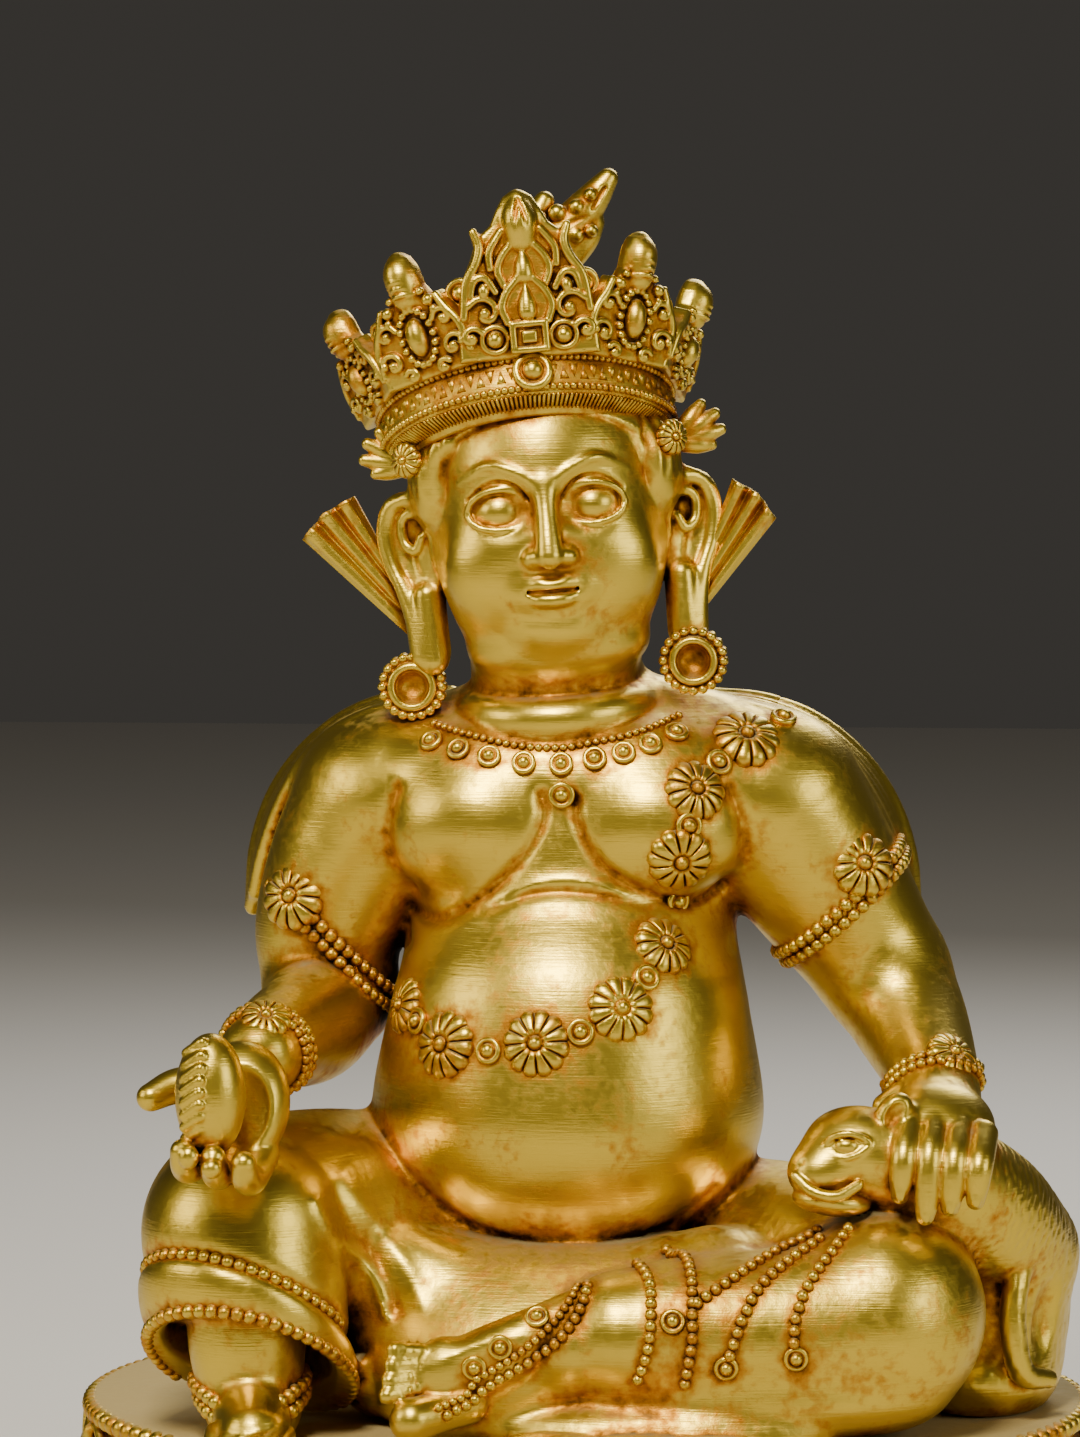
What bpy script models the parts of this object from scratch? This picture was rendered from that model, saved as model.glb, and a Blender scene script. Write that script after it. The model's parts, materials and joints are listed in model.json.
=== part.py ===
import itertools
import math

import bmesh
import bpy
import numpy as np
import openvdb
from mathutils import Euler, Matrix, Vector
from mathutils.bvhtree import BVHTree

# Sizes in metres, which can be changed one at a time
FIGURE_HEIGHT = 0.272
BASE_HEIGHT = 0.040
BASE_RIM_LENGTH = 0.224
BASE_RIM_DEPTH = 0.200
FIGURE_FORWARD = 0.008
RIM_BEAD = 0.0046
PETAL_SWELL = 0.008
FOOT_FLANGE = 0.006
UPPER_PETALS = 20
LOWER_PETALS = 20
BACK_PLAIN_DEGREES = 84
SEAT_GAP = 0.0003

ROSETTE_SIZE = 0.0140
ROSETTE_LOBES = 8
LINK_BEAD = 0.0058
STRAND_THICKNESS = 0.0026
EARRING_SIZE = 0.0150
CROWN_BAND_HEIGHT = 0.0075
CROWN_BAND_LENGTH = 0.066
CROWN_LEAF_HEIGHT = 0.038
CROWN_LEAF_WIDTH = 0.027
CROWN_LEAF_THICKNESS = 0.0036

# The free form is drawn in units of which the figure is 272 high, from the seat up
DRAWN_HEIGHT = 272.0
UNIT = FIGURE_HEIGHT / DRAWN_HEIGHT
CLAY_STEP = 1.25
BODY_TRIANGLES = 5200
FIGURE_TRIANGLES = 7450
BASE_TRIANGLES = 2400
CROWN_TILT = 20
HEAD_PLACE = (-6.5, -7.0, 190.5)
HEAD_TURN = (0, -5, 5)
FAR = 9.0

# The figure leans its head to one side, and all that is worn on it follows
HEAD_SPIN = Euler([math.radians(a) for a in HEAD_TURN])
HEAD = Matrix.Translation(HEAD_PLACE) @ HEAD_SPIN.to_matrix().to_4x4()


def soft_min(a, b, blend):
    """The nearer of two distances, rounded over where they are alike."""
    if blend <= 0:
        return np.minimum(a, b)
    share = np.maximum(blend - np.abs(a - b), 0) / blend
    return np.minimum(a, b) - share * share * blend / 4


def turned(degrees):
    return np.array(Euler([math.radians(a) for a in degrees]).to_matrix(), np.float32).T


def into(spin, centre, x, y, z):
    """The coordinates seen from a turned frame that stands at the centre."""
    x, y, z = x - centre[0], y - centre[1], z - centre[2]
    return [spin[k, 0] * x + spin[k, 1] * y + spin[k, 2] * z for k in range(3)]


class Clay:
    """A block of distances to a surface, to which shapes are added and from which they are cut."""

    def __init__(self, low, high, step):
        self.low = np.array(low, float)
        self.step = step
        count = np.ceil((np.array(high, float) - self.low) / step).astype(int) + 1
        self.far = np.full(count, FAR, np.float32)

    def measured(self, shape, frame, reach):
        low, high, distance = shape
        ends = list(zip(low, high))
        corners = [frame @ Vector(place) for place in itertools.product(*ends)]
        first = np.floor((np.min(corners, axis=0) - reach - self.low) / self.step).astype(int)
        last = np.ceil((np.max(corners, axis=0) + reach - self.low) / self.step).astype(int) + 1
        first = np.maximum(first, 0)
        last = np.minimum(last, self.far.shape)
        if (last <= first).any():
            return None, None
        axes = [(self.low[k] + self.step * np.arange(first[k], last[k])).astype(np.float32) for k in range(3)]
        x, y, z = np.ix_(*axes)
        m = np.array(frame.inverted(), np.float32)
        local = [m[k, 0] * x + m[k, 1] * y + m[k, 2] * z + m[k, 3] for k in range(3)]
        return tuple(slice(a, b) for a, b in zip(first, last)), distance(*local)

    def add(self, shape, blend=0.0, frame=Matrix.Identity(4)):
        window, new = self.measured(shape, frame, blend + 2 * self.step)
        if window:
            self.far[window] = soft_min(self.far[window], new, blend)

    def cut(self, shape, blend=0.0, frame=Matrix.Identity(4)):
        window, new = self.measured(shape, frame, blend + 2 * self.step)
        if window:
            self.far[window] = -soft_min(-self.far[window], new, blend)

    def mesh(self, name):
        """The surface as quads, in drawn units."""
        band = 3 * self.step
        grid = openvdb.FloatGrid(band)
        grid.copyFromArray(np.clip(self.far, -band, band))
        points, triangles, quads = grid.convertToPolygons(0.0, 0.0)
        points = points * self.step + self.low
        made = bpy.data.meshes.new(name)
        faces = [tuple(q) for q in quads] + [tuple(t) for t in triangles]
        made.from_pydata([tuple(p) for p in points], [], faces)
        made.update()
        return made


def ball(centre, radii, turn=(0, 0, 0)):
    """A sphere, or an ellipsoid where three radii are given."""
    c = np.array(centre, np.float32)
    r = np.array(radii if np.ndim(radii) else [radii] * 3, np.float32)
    spin = turned(turn)
    half = np.abs(spin.T) @ r

    def distance(x, y, z):
        p = into(spin, c, x, y, z)
        k0 = np.sqrt(sum((p[k] / r[k]) ** 2 for k in range(3)))
        k1 = np.sqrt(sum((p[k] / r[k] ** 2) ** 2 for k in range(3))) + 1e-6
        return k0 * (k0 - 1) / k1

    return c - half, c + half, distance


def smooth_path(points, per_span):
    """Rows along a curve that passes through all the given rows."""
    p = np.array(points, float)
    p = np.vstack([2 * p[0] - p[1], p, 2 * p[-1] - p[-2]])
    out = []
    for i in range(1, len(p) - 2):
        for t in np.arange(per_span) / per_span:
            a, b, c, d = p[i - 1 : i + 3]
            square = (2 * a - 5 * b + 4 * c - d) * t**2
            cube = (3 * b - a - 3 * c + d) * t**3
            out.append(0.5 * (2 * b + (c - a) * t + square + cube))
    out.append(p[-2])
    return np.array(out)


def limb(rows, per_span=9):
    """A round limb through rows of (x, y, z, radius)."""
    path = smooth_path(rows, per_span) if len(rows) > 2 else np.array(rows, float)
    at = path[:, :3]
    radius = path[:, 3]

    def distance(x, y, z):
        best = None
        for a, b, ra, rb in zip(at[:-1], at[1:], radius[:-1], radius[1:]):
            span = b - a
            along = (x - a[0]) * span[0] + (y - a[1]) * span[1] + (z - a[2]) * span[2]
            t = np.clip(along / max(span @ span, 1e-9), 0, 1)
            off = [c - a[k] - t * span[k] for k, c in enumerate((x, y, z))]
            gap = np.sqrt(off[0] ** 2 + off[1] ** 2 + off[2] ** 2) - (ra + t * (rb - ra))
            best = gap if best is None else np.minimum(best, gap)
        return best.astype(np.float32)

    return (at - radius[:, None]).min(0), (at + radius[:, None]).max(0), distance


def ring(centre, major, minor, turn=(0, 0, 0)):
    """A round ring that lies square to its own Z."""
    c = np.array(centre, np.float32)
    spin = turned(turn)

    def distance(x, y, z):
        p = into(spin, c, x, y, z)
        return np.sqrt((np.sqrt(p[0] ** 2 + p[1] ** 2) - major) ** 2 + p[2] ** 2) - minor

    return c - major - minor, c + major + minor, distance


def trimmed(shape, point, normal):
    """The part of a shape behind a plane."""
    low, high, whole = shape
    n = np.array(normal, float)
    n = n / np.linalg.norm(n)

    def distance(x, y, z):
        above = (x - point[0]) * n[0] + (y - point[1]) * n[1] + (z - point[2]) * n[2]
        return np.maximum(whole(x, y, z), above)

    return low, high, distance


def shape_torso(clay):
    clay.add(ball((-3, 15, 26), (52, 39, 30)))
    clay.add(ball((-3, 8, 85), (34, 24, 60)), 8)
    clay.add(ball((-3, 3, 122), (40, 25, 30)), 8)
    yoke = [(-46, 2, 132, 18), (-24, 3, 142, 15), (-5, 4, 148, 15), (16, 3, 144, 15), (41, 2, 134, 18)]
    clay.add(limb(yoke), 8)
    clay.add(ball((-3, 22, 122), (35, 12, 32)), 8)
    clay.add(ball((-3, -15, 122), (27, 13, 22)), 8)
    # The belly bulges over the lap in one egg, with a crease above it
    clay.add(ball((-2.5, -8, 65), (43, 40, 33)), 4)
    clay.add(ball((-2, -8, 89), (37, 34, 26)), 14)
    for side, x in ((-1, -22.5), (1, 18.5)):
        clay.add(ball((x, -17.5, 127.5), (18.5, 14, 17), (14, 0, side * 10)), 1.5)


def shape_neck(clay):
    clay.add(limb([(-4, 2, 142, 22), (-5, -1, 154, 20), (-6, -3, 170, 18.5)]), 2.5)
    clay.add(ring((-5, -2, 151.5), 16.5, 4.8, (8, -3, 0)), 1.0)
    clay.add(ring((-5.5, -3, 159.5), 15.5, 4.4, (8, -4, 0)), 1.0)


def shape_arms(clay):
    clay.add(limb([(-43, 2, 131, 20.5), (-51, 3, 119, 18.5), (-57, 5, 103, 16.5), (-57, 6, 90, 14.5)]), 3)
    clay.add(limb([(-57, 6, 88, 14.2), (-59, -12, 83, 13), (-62, -32, 82, 11), (-64, -54, 81, 8.6)]), 3)
    clay.add(limb([(42, 2, 131, 20.5), (51, 5, 117, 18.5), (60, 8, 103, 16), (66, 8, 94, 14.2)]), 3)
    clay.add(limb([(66, 8, 94, 14.2), (72, 0, 84, 12.6), (77, -13, 75, 10.4), (79, -24, 69, 9.6)]), 3)
    # A narrow scarf lies over the back of the shoulders
    for side, x in ((-1, -3), (1, 0)):
        rows = [(26, 15, 148, 3), (42, 13, 147, 3), (54, 14, 138, 3), (61, 16, 124, 3)]
        rows += [(68, 17.5, 104, 3), (69 + 1.5 * side, 17, 92, 2.5)]
        clay.add(limb([(x + side * a, b, c, r) for a, b, c, r in rows]), 1)


def shape_right_leg(clay):
    clay.add(limb([(-30, 10, 28, 30), (-52, -15, 36, 28.5), (-66, -38, 41, 24.5), (-68, -50, 42, 21.5)]), 4)
    cloth = limb([(-68, -50, 42, 21.5), (-67, -53, 30, 21.5), (-66, -54, 18, 22.5)])
    hem = (-64, -76, 27.5)
    slope = (-0.30, -0.12, -1)
    clay.add(trimmed(cloth, hem, slope), 3)
    clay.cut(trimmed(limb([(-66, -55, 26, 16.5), (-66, -55, 8, 18.5)]), (0, 0, 30), (0, 0, 1)), 0.8)
    clay.add(limb([(-66, -56, 34, 13), (-66, -58, 20, 12.5), (-65, -57, 8, 10.5)]), 1.5)
    # The foot stands near the rim, its toes out over the edge
    clay.add(limb([(-65, -54, 5.5, 9.5), (-64, -66, 5.5, 8.6), (-62, -76, 3.5, 7.0)]), 3)
    for k in range(5):
        reach = (9.5, 8.2, 6.8, 5.4, 3.8)[k]
        x = -55.5 - 3.6 * k
        clay.add(limb([(x, -76, 3.6, 2.6), (x - 0.4, -77 - reach, 2.6, 2.5 - 0.2 * k)]), 0.6)


def shape_left_leg(clay):
    clay.add(limb([(24, 10, 26, 26), (46, -8, 28, 25), (62, -26, 27, 22.5), (69, -38, 26, 20.5)]), 4)
    clay.add(ball((69, -41, 25), (20.5, 20.5, 23)), 3)
    clay.add(limb([(66, -43, 24, 20.5), (46, -49, 22, 18.5), (28, -53, 22.5, 16.5), (14, -57, 22.5, 14)]), 4)
    clay.add(limb([(14, -57, 22.5, 12.5), (4, -60, 21, 10.5)]), 1.5)
    clay.add(ball((34, -45, 9), (46, 22, 11)), 5)
    # The foot lies sole up, its toes stacked at the far end
    clay.add(ball((-13, -65, 16.5), (24, 7.5, 11.5), (0, 24, 8)), 2.5)
    clay.add(limb([(-18, -70, 9, 5.4), (-27, -76, 6.2, 5.2), (-33, -79, 5.8, 4.2)]), 1)
    for k in range(4):
        z = 11.8 + 4.0 * k
        clay.add(limb([(-27, -70, z, 2.8), (-37.5 + 0.8 * k, -75 + 1.2 * k, z - 0.5, 2.5)]), 0.6)


def shape_lap(clay):
    clay.add(ball((-3, -24, 13), (50, 33, 20)), 8)
    clay.add(ball((-18, -48, 8), (38, 20, 11)), 6)


def shape_right_hand(clay):
    clay.add(ball((-66, -70, 72), (11, 7.5, 14), (-14, 8, 0)), 4)
    clay.cut(ball((-64.5, -78.5, 72.5), (8.0, 5.5, 11), (-8, 8, 0)), 1)
    for k in range(3):
        x = -74.5 + 6.4 * k
        z = 61.5 - 1.2 * k
        finger = [(x + 1, -72, z + 3, 3.8), (x, -80, z - 1, 3.4), (x, -87, z + 0.5, 3.0), (x, -89.5, z + 3.5, 2.6)]
        clay.add(limb(finger), 1)
    clay.add(limb([(-72, -67, 76, 4.4), (-79, -69, 76, 3.8), (-84, -73, 74, 3.0)]), 1.2)
    # The fruit that it holds has a twisted ridge down its face
    clay.add(ball((-69.5, -84, 76), (7.4, 7.2, 13.0)), 0.6)
    for k in range(7):
        z = 85 - 2.7 * k
        back = 0.036 * (z - 76) ** 2
        clay.add(limb([(-73.5, -89.6 + back, z - 1.2, 1.3), (-70.2, -91.2 + back, z + 0.8, 1.3)]), 0.3)
    clay.add(ball((-73, -91, 64), (2.2, 2.2, 2.6)), 0.4)
    clay.add(ball((-68, -92, 61.8), 2.2), 0.4)


def shape_mongoose(clay):
    clay.add(ball((91, 2, 22), (16.5, 25, 26)), 0)
    clay.add(ball((88, -2, 8), (17, 24, 12)), 4)
    clay.add(limb([(94, -4, 34, 15.5), (89, -20, 45, 14.5), (81, -33, 54, 12.5), (74, -38, 58, 11)]), 4)
    clay.add(ball((64, -41, 60), (13, 10, 10), (0, 12, 0)), 4)
    clay.add(ball((55, -45, 56.5), (7, 7, 6.2)), 4)
    clay.add(ball((57.5, -45, 50.5), (8.5, 7, 3.4), (0, 6, 0)), 0.6)
    clay.add(limb([(50, -50.5, 56.2, 1.2), (54, -52.5, 53.2, 1.3), (59, -53, 52.4, 1.3), (63.5, -51, 54.6, 1.2)]), 0.6)
    clay.add(ball((60.3, -50.6, 62.6), (3.0, 2.2, 2.3), (0, 20, 0)), 0.3)
    clay.add(limb([(56.6, -51.0, 62.8, 0.8), (60.2, -52.6, 66.0, 0.9), (64.4, -51.0, 63.8, 0.8)]), 0.5)
    clay.add(ball((70.5, -44.5, 69), (3.6, 3.2, 5), (0, 35, 0)), 0.8)
    clay.cut(ball((71, -47.4, 69.2), (1.9, 1.8, 3.2), (0, 35, 0)), 0.4)
    # A curl of the tail lies against the haunch
    tail = [(103, -12, 34, 2.0), (99, -21, 30, 2.2), (99, -23, 20, 2.2), (101, -21, 12, 2.0), (104, -16, 10, 1.6)]
    clay.add(limb(tail), 0.8)
    clay.cut(ball((104, -18, 21), (3.2, 4, 8)), 1)


def shape_left_hand(clay):
    clay.add(ball((80.5, -36, 66), (11.5, 11, 7.5), (32, 14, 0)), 3)
    for k in range(4):
        x = 73.6 + 5.3 * k
        tip = (52.0, 47.0, 49.0, 51.0)[k]
        finger = [(x, -42, 67.5 - k, 3.2), (x - 0.5, -49.5, 61.5 - 0.6 * k, 3.0)]
        finger += [(x - 1, -50.6, tip + 4, 2.7), (x - 1.4, -50, tip, 2.0)]
        clay.add(limb(finger), 0.5)
    clay.add(limb([(75, -28, 71, 4.2), (69.5, -31, 72, 3.4), (65, -34, 70.5, 2.6)]), 1)


def shape_head(clay):
    def add(shape, blend=0.0):
        clay.add(shape, blend, HEAD)

    def cut(shape, blend=0.0):
        clay.cut(shape, blend, HEAD)

    add(ball((0, 2, 8), (25.5, 27, 31)), 1)
    add(ball((0, -5, -5), (24, 20.5, 20)), 8)
    add(ball((0, -7, -14), (20.5, 16, 12.5)), 6)
    add(ball((0, -4.5, -25.5), (20.5, 15.5, 8.5)), 1.5)
    add(ball((0, -19, -19.5), (8.5, 5.5, 4.8)), 4)
    for side in (-1, 1):
        add(ball((side * 11, -15.5, -5.5), (10, 7.5, 9)), 6)
        shape_eye(add, cut, side)
        shape_ear(add, cut, side)
    # The nose, then the lips below it
    add(limb([(0, -23.6, 12.0, 2.2), (0, -26.2, 5.5, 2.1), (0, -29.2, -0.8, 2.6), (0, -30.4, -3.6, 2.9)]), 1.5)
    for side in (-1, 1):
        add(ball((side * 3.5, -27.2, -4.2), (2.6, 3.2, 2.2)), 1.2)
    add(ball((0, -24.2, -11.2), (7.8, 3.2, 4.6)), 3)
    parting = [(7.6, -23.8, -10.6, 0.4), (3.4, -27.2, -11.8, 0.5)]
    upper_lip = [(6.8, -24.0, -10.2, 0.6), (2.4, -26.5, -9.8, 1.2)]
    lower_lip = [(5.4, -24.2, -12.4, 0.7), (2.0, -26.1, -13.9, 1.5)]
    for half, change in ((parting, cut), (upper_lip, add), (lower_lip, add)):
        other = [(-x, y, z, r) for x, y, z, r in half[::-1]]
        change(limb(half + other), 0.8)
    # Hair, drawn up into a knot behind the crown
    add(ball((0, 5, 12), (27.0, 27, 30)), 0.6)
    add(trimmed(ball((0, 3, 18), (29.5, 29.5, 23)), (0, -27, 27.5), (0, -0.64, -0.77)), 0.6)
    add(limb([(0, 5, 36, 18), (0, 8, 50, 13), (0.5, 9, 59, 9), (1, 9, 65, 6)]), 3)
    for side in (-1, 1):
        add(ball((side * 24, -4, 14), (6, 11, 12)), 2)


def shape_eye(add, cut, side):
    cut(ball((side * 10, -26.5, 6.5), (8, 4.5, 5.5)), 3)
    add(ball((side * 10, -18.8, 6.3), (5.8, 5.8, 5.0)), 0.5)
    for arc, height in (((180, 90, 0), 4.8), ((180, 270, 360), 4.0)):
        first, middle, last = arc
        rows = []
        for angle in np.radians(np.linspace(first, last, 7)):
            across = side * (10 + 7.0 * math.cos(angle))
            up = 6.3 + height * math.sin(angle)
            rows.append((across, -21.8 - 2.4 * abs(math.sin(angle)), up, 0.85))
        add(limb(rows, 3), 0.6)
    brow = [(2.4, -25.4, 12.0, 0.9), (6.5, -24.8, 14.6, 1.0), (12, -22.6, 15.8, 1.0), (18, -17.6, 13.0, 0.7)]
    add(limb([(side * x, y, z, r) for x, y, z, r in brow]), 1.4)


def shape_ear(add, cut, side):
    rows = [(-3, -3, 2.0), (-4, 4, 1.6), (-2, 11, 1.7), (3, 13, 1.8), (6.5, 8, 1.9)]
    rows += [(6, 0, 1.9), (4, -7, 2.2), (2, -15, 2.8), (0, -24, 3.2)]
    out = math.radians(48)
    normal = Vector((side * math.cos(out), -math.sin(out), 0))
    back = Vector((side * math.sin(out), math.cos(out), 0))
    root = Vector((side * 27.0, -2, 1))

    def at(u, v, w):
        return tuple(root + back * u + normal * w + Vector((side * 0.06 * abs(min(v, 0)), 0, v)))

    add(limb([(*at(1, 6, -1.5), 4.5), (*at(1, -4, -1.5), 4.0), (*at(0, -12, -1), 3)]), 1)
    add(limb([(*at(u, v, 1.0), r) for u, v, r in rows], 3), 0.6)
    cut(limb([(*at(0.8, 6, 2.6), 2.0), (*at(1.0, -1, 2.6), 2.2)]), 0.6)


def shape_figure(clay):
    shape_torso(clay)
    shape_neck(clay)
    shape_arms(clay)
    shape_lap(clay)
    shape_right_leg(clay)
    shape_left_leg(clay)
    shape_right_hand(clay)
    shape_mongoose(clay)
    shape_left_hand(clay)
    shape_head(clay)


# Where the worn things lie on the front of the figure, as (x, z) in drawn units
GARLAND = [
    (37.0, 146.8, 1.05),
    (26.9, 136.1, 0.90),
    (23.8, 121.1, 0.98),
    (20.4, 102.8, 0.90),
    (12.2, 90.3, 1.00),
    (-5.6, 83.1, 1.00),
    (-26.0, 81.8, 1.05),
    (-36.4, 88.6, 0.80),
]
LINKS = [
    (44.5, 150.5),
    (31.4, 141.6),
    (25.6, 128.6),
    (22.4, 111.6),
    (17.2, 96.4),
    (3.8, 85.6),
    (-15.9, 81.2),
    (-32.6, 86.0),
]
NECKLACE = [
    (-31.1, 145.7),
    (-24.8, 144.2),
    (-17.9, 142.8),
    (-10.3, 141.6),
    (-2.2, 141.4),
    (5.0, 142.6),
    (11.2, 143.8),
    (16.8, 145.6),
    (22.1, 147.8),
]
PENDANT = (-2.0, 134.9)
THIGH_STRANDS = [
    [(19.6, 36.0), (20.6, 30.0), (20.5, 24.0), (18.4, 16.0)],
    [(28.5, 38.6), (29.7, 32.0), (29.8, 25.0), (28.2, 15.0)],
    [(50.0, 44.5), (42.0, 39.6), (35.5, 35.6), (30.2, 32.0)],
    [(51.5, 43.4), (45.3, 39.2), (41.2, 32.5), (39.1, 25.0), (36.8, 18.4)],
    [(59.5, 45.8), (55.0, 41.0), (52.3, 33.5), (51.4, 26.0), (51.3, 20.5)],
]
ENDS_OF_STRANDS = [(36.8, 18.0), (51.3, 20.6), (25.6, 27.8)]
FOOT_BEADS = [(-2.9, 28.3), (-10.4, 22.1), (-15.9, 17.6)]
FOOT_STRAND = [(6.4, 33.0), (7.6, 29.5), (3.5, 24.6), (-4.0, 18.4), (-12.0, 12.6), (-20.5, 8.0)]
# Hoops worn round a limb: a point inside it, the way it faces, how far out it may lie
HOOPS = [
    ((-55.5, 4, 100.5), (-0.72, -0.05, -0.69), 19.5, 1.0),
    ((55.5, 6, 108.0), (0.66, 0.10, -0.74), 20.5, 1.0),
    ((-63.2, -47, 81.5), (-0.18, -0.94, -0.30), 12.5, 1.1),
    ((77.6, -17, 72.6), (0.18, -0.62, -0.76), 14.0, 1.1),
    ((-66.5, -53, 37.0), (-0.16, 0.12, 1.0), 27.0, 0.9),
    ((-65.8, -54, 24.6), (-0.30, -0.12, -1.0), 27.0, 1.0),
    ((-65.2, -57, 10.6), (0, -0.25, 1.0), 14.0, 1.0),
]
ARM_ROSETTES = [((-57, 3, 107), (-0.38, -0.92, 0.25), 1.0), ((55, 5, 114), (0.42, -0.88, 0.30), 0.95)]
WRIST_ROSETTES = [
    ((-63.2, -50, 82), (0.12, -0.62, 0.78), 0.72),
    ((78, -19, 73.4), (0.50, -0.52, 0.70), 0.72),
]
EAR_RINGS = [(-36.4, -11, 157.2), (25.2, -11, 163.2)]
# Each pleated fan: where it starts at the ear, then the far end of each of its folds as (x, z)
EAR_FANS = [
    ((-35.0, -9.5, 170.5), [(-59.6, 189.8), (-57.2, 194.6), (-52.2, 198.4), (-45.2, 193.4)]),
    ((22.6, -4.5, 173.0), [(40.4, 193.4), (37.6, 198.6), (34.8, 201.2), (28.4, 197.0)]),
]
# Each leaf of the crown: how far round from the front, its height and width as shares, its lean outward
CROWN_LEAVES = [
    (0, 0.92, 1.0, 18),
    (-39, 0.71, 0.84, 22),
    (39, 0.71, 0.84, 22),
    (-77, 0.62, 0.84, 22),
    (77, 0.62, 0.84, 22),
]
LEAF_OUTLINE = [
    (0.98, 0.0),
    (1.0, 0.28),
    (0.78, 0.44),
    (0.60, 0.56),
    (0.66, 0.68),
    (0.38, 0.75),
    (0.26, 0.90),
    (0.16, 1.02),
    (0.0, 1.06),
]
LEAF_DROP = [(0, 0.30), (0.30, 0.40), (0.26, 0.56), (0, 0.84), (-0.26, 0.56), (-0.30, 0.40)]


def fresh_scene():
    for obj in list(bpy.data.objects):
        bpy.data.objects.remove(obj)


def put(name, mesh):
    obj = bpy.data.objects.new(name, mesh)
    bpy.context.scene.collection.objects.link(obj)
    return obj


def applied(obj):
    """The object with its modifiers made part of its mesh."""
    graph = bpy.context.evaluated_depsgraph_get()
    mesh = bpy.data.meshes.new_from_object(obj.evaluated_get(graph))
    obj.modifiers.clear()
    obj.data = mesh
    return obj


def thinned(obj, triangles):
    """The object with edges collapsed, least needed first, until few enough triangles are left."""
    obj.data.calc_loop_triangles()
    thin = obj.modifiers.new("thin", "DECIMATE")
    thin.ratio = min(1.0, triangles / len(obj.data.loop_triangles))
    return applied(obj)


def healed(obj):
    """The object with the faces about any fault taken away and the holes closed again."""
    for _ in range(6):
        bm = bmesh.new()
        bm.from_mesh(obj.data)
        faults = {v for e in bm.edges if len(e.link_faces) != 2 for v in e.verts}
        if faults:
            bmesh.ops.delete(bm, geom=list({f for v in faults for f in v.link_faces}), context="FACES")
            bmesh.ops.delete(bm, geom=[v for v in bm.verts if not v.link_faces], context="VERTS")
            bmesh.ops.holes_fill(bm, edges=[e for e in bm.edges if len(e.link_faces) == 1], sides=0)
            bmesh.ops.triangulate(bm, faces=[f for f in bm.faces if len(f.verts) > 3])
            bmesh.ops.recalc_face_normals(bm, faces=bm.faces)
            bm.to_mesh(obj.data)
        bm.free()
        if not faults:
            break
    return obj


def rotated(degrees, axis):
    return Matrix.Rotation(math.radians(degrees), 4, axis)


# The crown sits on the head with its front raised
CROWN = HEAD @ Matrix.Translation((0, -3, 21.5)) @ rotated(-CROWN_TILT, "X")


def facing(place, outward, up=(0, 0, 1)):
    """A frame that stands at a place with its Z turned outward and its Y as near as can be to up."""
    z = Vector(outward).normalized()
    x = Vector(up).cross(z).normalized()
    y = z.cross(x)
    return Matrix.Translation(Vector(place)) @ Matrix((x, y, z)).transposed().to_4x4()


def lofted(name, rows, frame=Matrix.Identity(4), endless=False):
    """A closed mesh through rows of points, where a row of one point is a tip. An endless one joins up."""
    bm = bmesh.new()
    made = [[bm.verts.new(frame @ Vector(p)) for p in row] for row in rows]
    pairs = list(zip(made[:-1], made[1:]))
    if endless:
        pairs.append((made[-1], made[0]))
    for low, high in pairs:
        count = max(len(low), len(high))
        for k in range(count):
            n = (k + 1) % count
            if len(low) == 1:
                bm.faces.new((low[0], high[n], high[k]))
            elif len(high) == 1:
                bm.faces.new((low[k], low[n], high[0]))
            else:
                bm.faces.new((low[k], low[n], high[n], high[k]))
    if not endless:
        for row, flip in ((made[0], True), (made[-1], False)):
            if len(row) > 2:
                bm.faces.new(row[::-1] if flip else row)
    bmesh.ops.recalc_face_normals(bm, faces=bm.faces)
    mesh = bpy.data.meshes.new(name)
    bm.to_mesh(mesh)
    bm.free()
    return put(name, mesh)


def circle(radius, height, sides, lobe=0.0):
    """Points round a circle, each second one drawn in by a share where it has lobes."""
    points = []
    for k in range(sides):
        angle = 2 * math.pi * k / sides
        r = radius * (1 - lobe * (k % 2))
        points.append((r * math.cos(angle), r * math.sin(angle), height))
    return points


def dome(frame, radius):
    """A round bead, half sunk."""
    rows = [circle(radius, -radius * 0.6, 7), circle(radius * 0.92, radius * 0.35, 7), [(0, 0, radius * 0.85)]]
    return lofted("dome", rows, frame)


def rosette(frame, radius):
    """A flower of narrow lobes about a round boss."""
    lobes = 2 * ROSETTE_LOBES
    rows = [
        circle(radius, -0.4 * radius, lobes, 0.10),
        circle(radius, 0.16 * radius, lobes, 0.10),
        circle(radius * 0.44, 0.24 * radius, lobes, 0.3),
        [(0.0, 0.0, 0.46 * radius)],
    ]
    return lofted("rosette", rows, frame)


def strand(path, thickness, endless=False):
    """A cord of four sides along a path of (place, outward) pairs."""
    rows = []
    for k, (place, outward) in enumerate(path):
        before = path[k - 1][0] if k or endless else place
        after = path[(k + 1) % len(path)][0] if k + 1 < len(path) or endless else place
        run = (after - before).normalized()
        side = run.cross(outward).normalized()
        half = thickness / 2
        around = (side, outward, -side, -outward * 1.6)
        rows.append([place + way * half for way in around])
    return lofted("strand", rows, endless=endless)


def hit_front(tree, x, z):
    place, outward, _, _ = tree.ray_cast(Vector((x, -200, z)), Vector((0, 1, 0)))
    return place, outward


def smooth_hit(tree, x, z, spread=1.6):
    """Where a line from the front meets the figure, with the way the surface faces there on the whole."""
    place, outward = hit_front(tree, x, z)
    total = outward.copy()
    for dx, dz in ((spread, 0), (-spread, 0), (0, spread), (0, -spread)):
        near, way = hit_front(tree, x + dx, z + dz)
        if near is not None and abs(near.y - place.y) < 4:
            total += way
    return place, total.normalized()


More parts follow.
